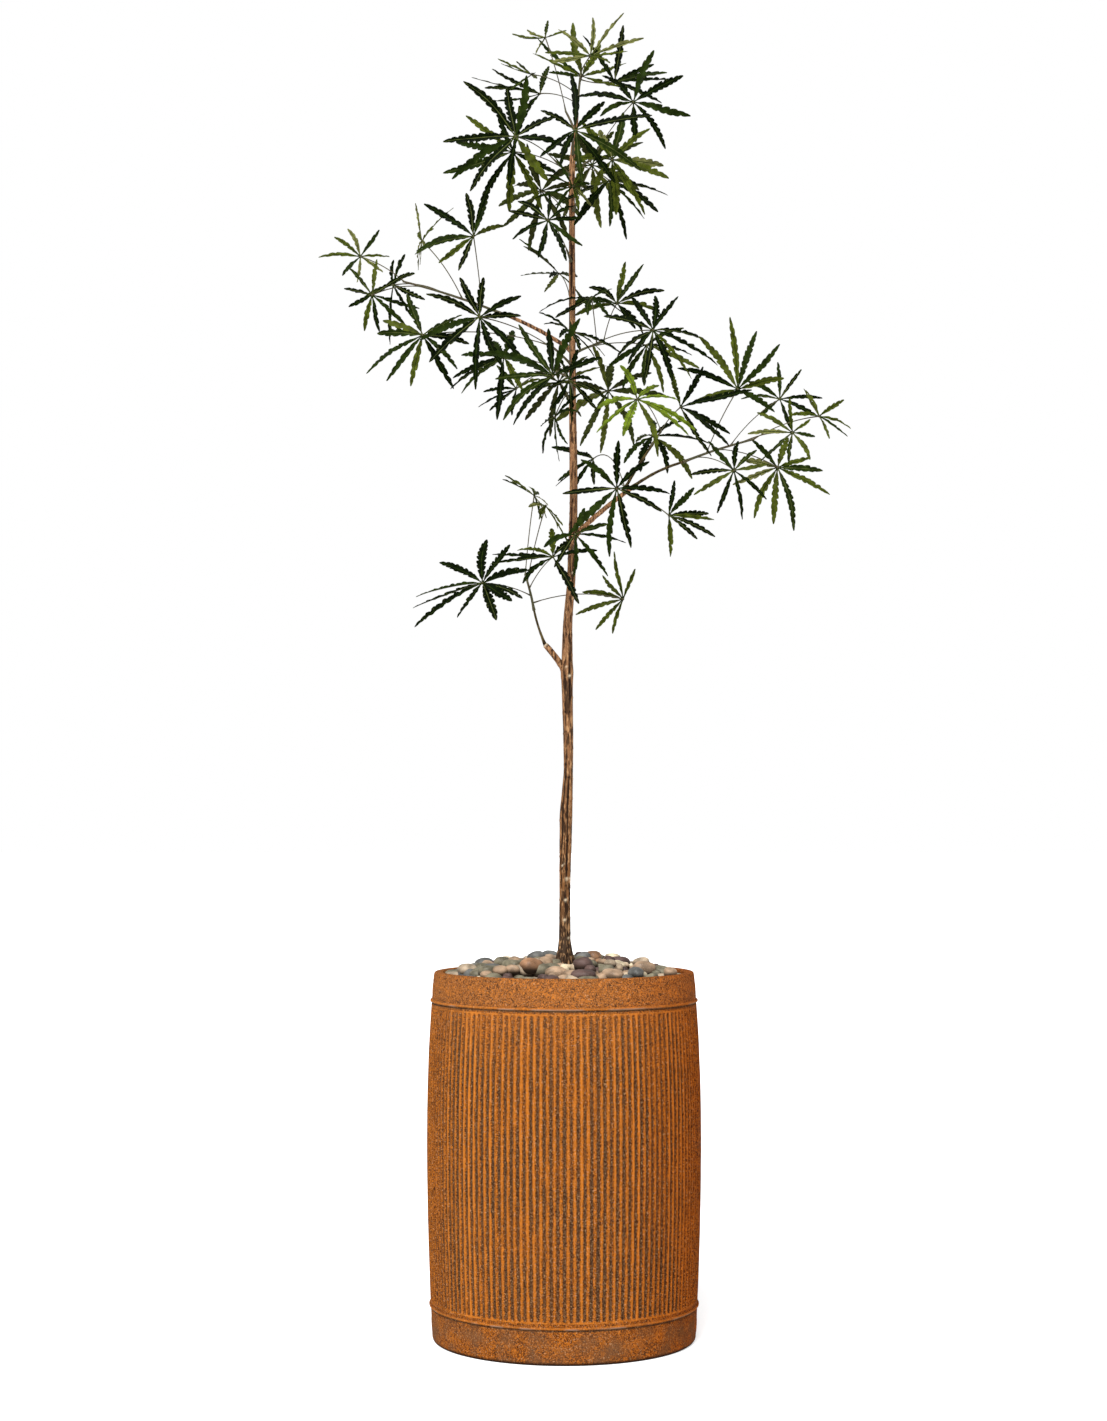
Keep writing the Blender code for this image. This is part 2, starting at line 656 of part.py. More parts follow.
def add_leaflet(bm, root, hub, heading, normal, fitted, width):
    """A thin tapering blade from one side of the hub to a point, three-cornered in section."""
    length, pull, _ = fitted
    stations = SHORT_STATIONS if length < SHORT_SPAN else LONG_STATIONS
    points = leaflet_points(hub, heading, length, pull, [share for share, _ in stations] + [1.0])
    tip = bm.verts.new(points[-1])
    side = normal.cross(heading).normalized()
    thickness = length * LEAFLET_THICKNESS_SHARE
    rows = []
    before = hub
    for centre, (_, wide) in zip(points, stations):
        along = (centre - before).normalized()
        down = -along.cross(side).normalized()
        if down.dot(normal) > 0.0:
            down = -down
        rows.append(
            (
                bm.verts.new(centre - side * (width * wide * 0.5)),
                bm.verts.new(centre + side * (width * wide * 0.5)),
                bm.verts.new(centre + down * thickness),
            )
        )
        before = centre
    right, left, keel = rows[0]
    top_right, top_left, bottom_left, bottom_right = root
    bm.faces.new((top_right, top_left, left, right))
    bm.faces.new((top_left, bottom_left, keel, left))
    bm.faces.new((bottom_right, top_right, right, keel))
    bm.faces.new((bottom_left, bottom_right, keel))
    for row, following in zip(rows, rows[1:]):
        for a in range(3):
            b = (a + 1) % 3
            bm.faces.new((row[a], row[b], following[b], following[a]))
    for a in range(3):
        bm.faces.new((rows[-1][a], rows[-1][(a + 1) % 3], tip))


def keep_one_body(mesh):
    """Drop sealed hollows and loose scraps that a union can leave."""
    bm = bmesh.new()
    bm.from_mesh(mesh)
    waiting = set(bm.faces)
    bodies = []
    while waiting:
        body = {waiting.pop()}
        edge_of_body = list(body)
        while edge_of_body:
            face = edge_of_body.pop()
            for edge in face.edges:
                for neighbour in edge.link_faces:
                    if neighbour in waiting:
                        waiting.remove(neighbour)
                        body.add(neighbour)
                        edge_of_body.append(neighbour)
        bodies.append(body)
    bodies.sort(key=len)
    for body in bodies[:-1]:
        bmesh.ops.delete(bm, geom=list(body), context="FACES")
    bmesh.ops.triangulate(bm, faces=bm.faces)
    bm.to_mesh(mesh)
    bm.free()


def fuse(item, pieces):
    """Join pieces to an object with one Boolean union, apply it and remove them."""
    group = bpy.data.collections.new(item.name + "_pieces")
    bpy.context.scene.collection.children.link(group)
    for piece in pieces:
        bpy.context.scene.collection.objects.unlink(piece)
        group.objects.link(piece)
    modifier = item.modifiers.new("Join", "BOOLEAN")
    modifier.operation = "UNION"
    modifier.solver = "EXACT"
    modifier.use_self = True
    modifier.operand_type = "COLLECTION"
    modifier.collection = group
    bpy.context.view_layer.update()
    graph = bpy.context.evaluated_depsgraph_get()
    joined = bpy.data.meshes.new_from_object(item.evaluated_get(graph))
    item.modifiers.clear()
    item.data = joined
    for piece in pieces:
        bpy.data.objects.remove(piece, do_unlink=True)
    bpy.data.collections.remove(group)
    keep_one_body(joined)


def make_mass(mass, number, occupied, material):
    """One mass of foliage: a stem with its leaf stalks and leaves fused on."""
    leaves = grow_mass(mass, number, occupied)
    _, first_axis = rooting(mass.host, mass.at, mass.bearing, mass.rise)
    shares = [i / STEM_STEPS for i in range(STEM_STEPS + 1)]
    points = [stem_point(mass, share) for share in shares]
    radii = [STEM_FOOT_RADIUS + (STEM_TIP_RADIUS - STEM_FOOT_RADIUS) * share for share in shares]
    bm = bmesh.new()
    skin_rings(bm, tube_rings(points, radii, STEM_SIDES, first_axis))
    stem = add_object(mass.name, bm, material, FOLIAGE_SMOOTH_ANGLE)
    pieces = []
    for path, sweep, axes, width, placed in leaves:
        stalk = bmesh.new()
        first = (path[1] - path[0]).normalized()
        skin_rings(stalk, tube_rings(path, [STALK_RADIUS] * len(path), STALK_SIDES, first))
        pieces.append(add_object(mass.name + "_stalk", stalk, material, FOLIAGE_SMOOTH_ANGLE))
        fan = bmesh.new()
        add_fan(fan, path[-1], sweep, axes, width, placed)
        pieces.append(add_object(mass.name + "_fan", fan, material, FOLIAGE_SMOOTH_ANGLE))
    fuse(stem, pieces)
    occupied.add(mass.name, points, STEM_FOOT_RADIUS)
    return stem


def pot_radius(height):
    """Outer radius of the barrel wall at a height."""
    if height >= BELLY_HEIGHT:
        share = (height - BELLY_HEIGHT) / (POT_HEIGHT - BELLY_HEIGHT)
        return BELLY_RADIUS - (BELLY_RADIUS - RIM_RADIUS) * share * share
    share = (BELLY_HEIGHT - height) / BELLY_HEIGHT
    return BELLY_RADIUS - (BELLY_RADIUS - FOOT_RADIUS) * share * share


def bead_outline(height):
    """A half-round bead on the wall, from its upper edge to its lower one."""
    outline = []
    for degrees in BEAD_CORNERS:
        turn = math.radians(degrees)
        z = height + BEAD_RADIUS * math.sin(turn)
        outline.append((pot_radius(z) + BEAD_RADIUS * math.cos(turn), z))
    return outline


def planter_outline():
    """Half section of the planter: up the inside from its floor, over the lip and down the outside."""
    outline = [(0.0, FLOOR_THICKNESS)]
    inner_rise = (POT_HEIGHT - INNER_LIP_ROUNDING - FLOOR_THICKNESS) / INNER_RINGS
    inner_heights = [FLOOR_THICKNESS + inner_rise * i for i in range(INNER_RINGS + 1)]
    outline += [(pot_radius(z) - WALL, z) for z in inner_heights]
    outline.append((RIM_RADIUS - WALL + INNER_LIP_ROUNDING, POT_HEIGHT))
    outline.append((RIM_RADIUS - LIP_ROUNDING, POT_HEIGHT))
    outline.append((pot_radius(POT_HEIGHT - LIP_ROUNDING), POT_HEIGHT - LIP_ROUNDING))
    outline += bead_outline(UPPER_BEAD_HEIGHT)
    top = UPPER_BEAD_HEIGHT - BEAD_RADIUS
    bottom = LOWER_BEAD_HEIGHT + BEAD_RADIUS
    for i in range(1, WALL_RINGS):
        z = top + (bottom - top) * i / WALL_RINGS
        outline.append((pot_radius(z), z))
    outline += bead_outline(LOWER_BEAD_HEIGHT)
    outline.append((pot_radius(FOOT_ROUNDING), FOOT_ROUNDING))
    rounding = FOOT_ROUNDING * FOOT_ARC_SHARE
    outline.append((FOOT_RADIUS - rounding, rounding))
    outline.append((FOOT_RADIUS - FOOT_ROUNDING, 0.0))
    outline.append((0.0, 0.0))
    return outline


def turned(name, outline, segments, material):
    """An object of revolution: the outline swept round the middle by a Screw modifier."""
    bm = bmesh.new()
    corners = [bm.verts.new((x, 0.0, z)) for x, z in outline]
    for first, second in zip(corners, corners[1:]):
        bm.edges.new((first, second))
    mesh = bpy.data.meshes.new(name)
    bm.to_mesh(mesh)
    bm.free()
    mesh.materials.append(material)
    item = bpy.data.objects.new(name, mesh)
    bpy.context.scene.collection.objects.link(item)
    screw = item.modifiers.new("Turn", "SCREW")
    screw.steps = segments
    screw.render_steps = segments
    screw.use_merge_vertices = True
    screw.merge_threshold = 0.0001
    screw.use_smooth_shade = True
    return item


def soil_outline():
    """Half section of the soil: it fills the planter, a hair clear of its wall and floor."""
    bottom = FLOOR_THICKNESS + CLEARANCE
    outline = [(0.0, SOIL_TOP)]
    for i in range(INNER_RINGS + 1):
        z = SOIL_TOP + (bottom - SOIL_TOP) * i / INNER_RINGS
        outline.append((pot_radius(z) - WALL - SOIL_CLEARANCE, z))
    outline.append((0.0, bottom))
    return outline


def bed_height(radius):
    """Height of the pebble bed's domed top at a distance from the middle."""
    share = radius / (RIM_RADIUS - WALL)
    return PEBBLE_EDGE_HEIGHT + PEBBLE_DOME_RISE * (1.0 - share * share)


def bed_outline():
    """Half section of the pebble bed, from its domed top down to the soil."""
    edge = pot_radius(PEBBLE_EDGE_HEIGHT) - WALL - BED_CLEARANCE
    outline = [(0.0, bed_height(0.0))]
    radii = [edge * i / BED_RINGS for i in range(1, BED_RINGS + 1)]
    outline += [(radius, bed_height(radius)) for radius in radii]
    outline.append((edge, SOIL_TOP + CLEARANCE))
    outline.append((0.0, SOIL_TOP + CLEARANCE))
    return outline


def make_pebble(centre, lengths, turn, tip, material):
    """One pebble, turned round Z and tipped a little."""
    place = Matrix.Translation(centre) @ Matrix.Rotation(turn, 4, "Z") @ Matrix.Rotation(tip, 4, "X")
    bm = bmesh.new()
    size = Matrix.Diagonal((*lengths, 1.0))
    bmesh.ops.create_icosphere(bm, subdivisions=1, radius=0.5, matrix=place @ size)
    return add_object("pebble", bm, material)


def make_pebbles(material, trunk_cutter):
    """The domed bed of river pebbles, set out on a sunflower spiral and fused to a disc."""
    bed = turned("pebbles", bed_outline(), BED_SEGMENTS, material)
    rng = random.Random(PEBBLE_SEED)
    pieces = []
    field = RIM_RADIUS - WALL - PEBBLE_MARGIN
    for i in range(PEBBLE_COUNT):
        radius = field * math.sqrt((i + SPIRAL_START) / PEBBLE_COUNT)
        turn = i * GOLDEN_ANGLE
        long_side = rng.uniform(*PEBBLE_LENGTH)
        wide_side = long_side * rng.uniform(*PEBBLE_WIDTH_SHARE)
        deep_side = long_side * rng.uniform(*PEBBLE_DEPTH_SHARE)
        height = bed_height(radius) + PEBBLE_STAND
        centre = Vector((radius * math.cos(turn), radius * math.sin(turn), height))
        spin = rng.uniform(0.0, math.pi)
        tip = rng.uniform(-PEBBLE_TIP, PEBBLE_TIP)
        pieces.append(make_pebble(centre, (long_side, wide_side, deep_side), spin, tip, material))
    fuse(bed, pieces)
    cut_with(bed, trunk_cutter, "Clear of trunk")
    return bed


def main():
    clear_scene()
    rust = plain_material("rust glaze", (0.50, 0.16, 0.03), 0.6)
    earth = plain_material("potting soil", (0.05, 0.03, 0.02), 0.95)
    stone = plain_material("river pebbles", (0.36, 0.30, 0.25), 0.55)
    bark = plain_material("bark", (0.32, 0.15, 0.07), 0.75)
    turned("planter", planter_outline(), POT_SEGMENTS, rust)
    turned("soil", soil_outline(), POT_SEGMENTS, earth)
    trunk_cutter = make_trunk_clearance(bark)
    make_trunk(bark)
    make_pebbles(stone, trunk_cutter)
    occupied = Occupied()
    for low, high in zip(trunk_heights(), trunk_heights()[1:]):
        first, radius = trunk_at(low)
        second, _ = trunk_at(high)
        occupied.add("trunk", (first, second), radius)
    for bough in BOUGHS:
        make_bough(bough, bark, trunk_cutter)
        path = [bough_point(bough, share) for share in (0.0, 0.5, 1.0)]
        occupied.add(bough.name, path, bough.radius)
    for number, mass in enumerate(MASSES):
        leaf_green = plain_material(mass.name + " green", mass.colour, 0.45)
        make_mass(mass, number, occupied, leaf_green)


main()
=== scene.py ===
"""Looks of a potted false aralia tree: a slim trunk with open sprays of toothed, finger-like
leaflets, in a fluted rust-coloured barrel planter topped with river pebbles.

Metres, +Z up. Bearings are degrees round Z: 0 is +X (right), 90 is +Y (back), 180 is left
and 270 is the front. A lift or rise is degrees above level.
"""

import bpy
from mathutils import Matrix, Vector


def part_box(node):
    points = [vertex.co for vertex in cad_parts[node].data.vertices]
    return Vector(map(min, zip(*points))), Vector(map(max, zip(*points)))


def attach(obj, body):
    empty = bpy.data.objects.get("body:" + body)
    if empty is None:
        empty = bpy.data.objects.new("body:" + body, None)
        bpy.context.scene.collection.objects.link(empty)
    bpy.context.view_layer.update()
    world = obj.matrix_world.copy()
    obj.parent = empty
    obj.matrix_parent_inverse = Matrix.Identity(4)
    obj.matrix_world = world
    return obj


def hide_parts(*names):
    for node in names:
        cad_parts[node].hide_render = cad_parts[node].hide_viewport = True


bl_info = {
    "name": "Potted False Aralia",
    "version": (1, 0, 0),
    "blender": (4, 5, 0),
    "location": "3D View > Sidebar > Aralia",
    "description": "Builds the planter, pebbles, bark and leaves of a potted false aralia tree",
    "category": "Object",
}

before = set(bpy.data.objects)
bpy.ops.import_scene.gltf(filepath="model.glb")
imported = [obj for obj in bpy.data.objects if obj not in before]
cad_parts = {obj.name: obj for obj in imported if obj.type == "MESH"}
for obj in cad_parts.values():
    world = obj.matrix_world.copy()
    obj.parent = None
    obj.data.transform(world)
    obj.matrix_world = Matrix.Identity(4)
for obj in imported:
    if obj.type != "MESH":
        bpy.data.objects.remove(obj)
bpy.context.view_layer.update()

import math
import random
from collections import namedtuple

import bmesh
import bpy
import numpy as np
from bpy.props import FloatProperty, FloatVectorProperty, IntProperty, PointerProperty
from bpy.types import NodeSocket, Operator, Panel, PropertyGroup
from mathutils import Matrix, Vector, noise

ROOT = "root"
UP = Vector((0.0, 0.0, 1.0))
TINY = 1e-6
CLEARANCE = 0.0003

# Planter, soil and pebbles: the same sizes as their solids
POT_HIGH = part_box("planter")[1]
POT_HEIGHT = POT_HIGH.z
BELLY_RADIUS = POT_HIGH.x
BELLY_HEIGHT = 0.340
RIM_RADIUS = 0.2157
FOOT_RADIUS = 0.2183
FOOT_ROUNDING = 0.006
LIP_ROUNDING = 0.004
INNER_LIP = ((0.0012, 0.0012), (0.004, 0.0))
WALL = 0.016
FLOOR_THICKNESS = 0.020
BEAD_RADIUS = 0.0026
BEADS = (0.5626, 0.060)
SOIL_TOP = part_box("soil")[1].z
SOIL_DIP = 0.013
PEBBLE_EDGE_HEIGHT = 0.590
PEBBLE_DOME_RISE = 0.030

# Planter detail. The flutes' end gaps, like the beads, start with the upper one
COLUMNS_PER_FLUTE = 6
FLUTE_END_GAPS = (0.0075, 0.0065)
FINE_STRETCH = 0.0135
BEAD_TURNS = (70, 40, 15, -15, -40, -70, -90)
WORN_LINE_DEPTH = 0.0008
WORN_LINE_WIDTH = 0.0022
CHIP_DROP = 0.0012
CHIP_WIDTH = 0.0016
CAST_UNEVENNESS = 0.00028
BAND_RELIEF = 0.0007
BAND_MARGIN = 0.006
FLUTE_SEED = 3
FLUTE_WANDER = 0.00018
FLUTE_WANDER_WAVES = ((37.0, 3.7), (91.0, 1.9))
FLUTE_BREADTH_SPREAD = 0.05
FLUTE_BREADTH_WAVES = ((61.0, 2.4), (143.0, 5.1))
RIDGE_WEAR = (0.25, 0.95)
GROOVE_WEAR = (0.70, 1.15)
# Painted light: GROOVE_FADE and RIDGE_FADE give heights and shares. The grooves' darkness fades towards the
# top and the ridges' brightness fades towards the foot, so the body reads lighter higher up
GROOVE_FADE = ((0.30, 0.45, 0.55), (1.0, 0.90, 0.50))
RIDGE_FADE = ((0.10, 0.45), (0.80, 1.0))
# Painted light and shade: beyond this value of the bearing's |cos|, towards the left and right sides, the
# flutes' bright ridges and dark grooves fade
FLANK_FADE_START = 0.76
BAND_MOTIFS = 26
STROKE_WIDTH = 0.0022
STEM_WAVE = 0.34

# Soil and pebble detail
SOIL_COLUMNS = 96
SOIL_ROWS = 23
SOIL_LUMPS = ((0.0022, 110.0), (0.0012, 330.0))
PEBBLE_HALF_LENGTH = (0.0080, 0.0200)
PEBBLE_SIZE_POWER = 1.2
PEBBLE_WIDTH = (0.72, 0.92)
PEBBLE_DEPTH = (0.60, 0.80)
PEBBLE_ROOM = 0.47
PEBBLE_PUSH = 0.28
PEBBLE_LIFT_SPREAD = (-0.0025, 0.0035)
PEBBLE_TIP = 0.30
PEBBLE_SQUARENESS = 0.82
PEBBLE_LAYERS = ((165, -0.0105, 6), (170, 0.0025, 5), (70, 0.0125, 7))
TOP_LAYER_LIFT = 0.01
PEBBLE_PUSH_ROUNDS = 90
FOOT_IN_VIEW = 0.024
PEBBLE_KINDS = ("grey_green", "blue_grey", "tan", "terracotta", "brown_purple", "beige", "cream")
PEBBLE_SHARES = (24, 13, 22, 6, 12, 15, 8)

# Trunk: height, sideways lean and radius at the places where its outline changes
Station = namedtuple("Station", "height lean radius")
TRUNK = (
    Station(SOIL_TOP + CLEARANCE, 0.0000, 0.0270),
    Station(0.600, 0.0005, 0.0225),
    Station(0.628, 0.0008, 0.0165),
    Station(0.643, 0.0010, 0.0125),
    Station(0.662, 0.0011, 0.0098),
    Station(0.728, 0.0015, 0.0091),
    Station(0.868, 0.0033, 0.0105),
    Station(0.947, 0.0072, 0.0077),
    Station(1.107, 0.0050, 0.0095),
    Station(1.193, 0.0066, 0.0076),
    Station(1.260, 0.0120, 0.0069),
    Station(1.390, 0.0158, 0.0066),
    Station(1.560, 0.0141, 0.0058),
    Station(1.890, 0.0133, 0.0050),
    Station(1.950, 0.0140, 0.0052),
    Station(2.036, 0.0212, 0.0032),
)
TRUNK_RING_STEP = 0.065
ROOT_LOBES = 3
ROOT_LOBE_DEPTH = 0.16
ROOT_LOBE_TURN = 0.6
ROOT_LOBE_HEIGHT = 0.13
TRUNK_LOOK_AHEAD = 0.01
BOUGH_LOOK_BACK = 0.02

# The bark's plates, grain and streaks: how quickly each varies round the trunk and up it, where
# its noise starts and how far it stands out
BARK_LAYERS = (
    (1.7, 22.0, (0.0, 0.0, 0.0), 0.00050),
    (4.5, 70.0, (0.0, 0.0, 0.0), 0.00020),
    (2.6, 7.0, (5.0, 2.0, 0.0), 0.00035),
)

# Bark detail
BARK_SIDES = 40
BARK_STEP = 0.0030
KNUCKLE_HEIGHT = 1.108
KNUCKLE_SHARE = 0.10
KNUCKLE_WIDTH = 0.013
LEAF_RING_SEED = 17
LEAF_RINGS_FROM = 0.640
LEAF_RING_SPACING = (0.020, 0.036)
LEAF_RING_REACH = 0.006
LEAF_RING_RISE = 0.00065
LEAF_RING_WIDTH = 0.0017
LEAF_RING_LINE = (0.002, 0.0014)
SCAR_SEED = 41
SCAR_COUNT = 26
SCAR_HEIGHTS = (0.62, 1.75)
SCAR_SIZES = (0.0010, 0.0020)
FRONT_SCAR_HEIGHTS = (0.695, 0.728, 0.763, 1.100)
FRONT_SCAR_BEARINGS = (268.0, 277.0, 286.0, 295.0)
FRONT_SCAR_SIZE = 0.0024
SCAR_RIM = 0.0009
SCAR_HOLLOW = 0.0008
SCARRED_RADIUS = 0.009
BOUGH_SIDES = 18
BOUGH_STEP = 0.004
BOUGH_COLLAR = (0.55, 0.011)
BOUGH_NODE_RISE = 0.13
BOUGH_NODE_SPACING = 0.021
BOUGH_UNEVENNESS = 0.13
CUT_BOUGH = "bough_low_left"

# Boughs: at is a height on the trunk or a share of the host bough's length
Bough = namedtuple("Bough", "name host at bearing rise tip_rise length radius tip_radius")
BOUGHS = (
    Bough("bough_low_left", "trunk", 1.104, 180, 58, 48, 0.060, 0.0056, 0.0047),
    Bough("shoot_low_left", "bough_low_left", 1.0, 182, 66, 78, 0.060, 0.0020, 0.0018),
    Bough("bough_left", "trunk", 1.640, 180, 36, 20, 0.134, 0.0036, 0.0026),
    Bough("bough_right", "trunk", 1.331, 0, 44, 36, 0.126, 0.0044, 0.0036),
    Bough("bough_right_long", "bough_right", 1.0, 2, 38, 16, 0.098, 0.0026, 0.0020),
    Bough("bough_right_upper", "bough_right", 0.90, 0, 60, 56, 0.088, 0.0024, 0.0020),
)

# Leaf sizes shared by all the foliage
LEAFLET_WIDTH_SHARE = 0.100
UNEVENNESS = 0.17
LEAFLET_LENGTH_SPREAD = 0.16
LEAFLET_TURN_SPREAD = math.radians(9)
LEAFLET_PITCH_SPREAD = math.radians(20)
DROOP_SPREAD = 0.6
HUB_RADIUS = 0.0045
STALK_RADIUS = 0.0016
STALK_STEPS = 3
STALK_BOWS = (0.06, 0.16, -0.06, 0.28)
LAST_STALK_SHARE = 0.985
STEM_STEPS = 4
STEM_BEND = -8
STEM_RADII = (1.35 * STALK_RADIUS, 1.10 * STALK_RADIUS)
TWIG_GAP = 0.0015
FOLIAGE_SEED = 1000
LEAFLET_TRIALS = ((1.0, 1.0), (1.0, 0.4), (1.0, 1.7), (0.82, 1.0), (0.82, 0.3), (0.64, 1.0))
TRIAL_SHARES = (0.0, 0.33, 0.66, 1.0)

# Leaflet detail
DETAIL_SEED = 5000
PETIOLULE_SHARE = 0.035
PETIOLULE_HALF_WIDTH = 0.0012
PETIOLULE_START = 0.0012
TOOTH_STEPS = (0.0, 0.32, 0.64, 0.88)
TOOTH_RISE = ((0.0, 0.34, 0.66, 0.90, 1.0), (0.0, 0.74, 1.0, 0.72, 0.0))
TOOTH_DEPTH = 0.42
TOOTH_DEPTH_SPREAD = (0.45, 1.35)
TOOTH_PITCH_SPREAD = (0.85, 1.25)
TOOTH_OFFSETS = (0.0, 0.42)
LEAFLET_FULLNESS = (0.95, 1.42)
SWAY = 0.045
SABRE = 0.075
TWIST = 0.75
TOOTH_LEAN = 0.16
WIDEST_POWERS = (0.58, 0.66)
FOLD = 0.26
FOLD_SPREAD = (0.4, 1.5)
EDGE_WAVE = (0.0006, 0.0013)
EDGE_WAVE_PACES = (4.1, 3.7)
LEAFLET_DEPTH = 0.0008
RIB_HALF_WIDTH = 0.00095
PALE_RIB_SHARE = 0.38
FINE_STEPS = 10
FINE_SIDES = 6
FINE_STALK_RADIUS = 0.00085
STALK_FOOT = 0.006
HUB_KNOT = 0.0021
KNOT_RINGS = ((-0.9, 0.35), (-0.5, 0.85), (0.0, 1.0), (0.5, 0.85), (0.9, 0.35))
LEAF_ROUGHNESS = 0.45
UNDERSIDE_ROUGHNESS = 0.6
RIB_ROUGHNESS = 0.5

# Foliage: each mass has one stem, with its leaf stalks spaced evenly along it. A leaf row
# gives its stalk's bearing, lift and length, the bearing its blade faces, how far the blade
# tilts from level towards that bearing, which way round from the blade's top its longest
# leaflets lie, clockwise as its face is seen, the sweep its leaflets are spread over, their
# count and length, and the leaf's green.
Leaf = namedtuple("Leaf", "bearing lift reach facing tilt lead sweep count span green")
Mass = namedtuple("Mass", "name host at bearing rise length droop curl leaves")
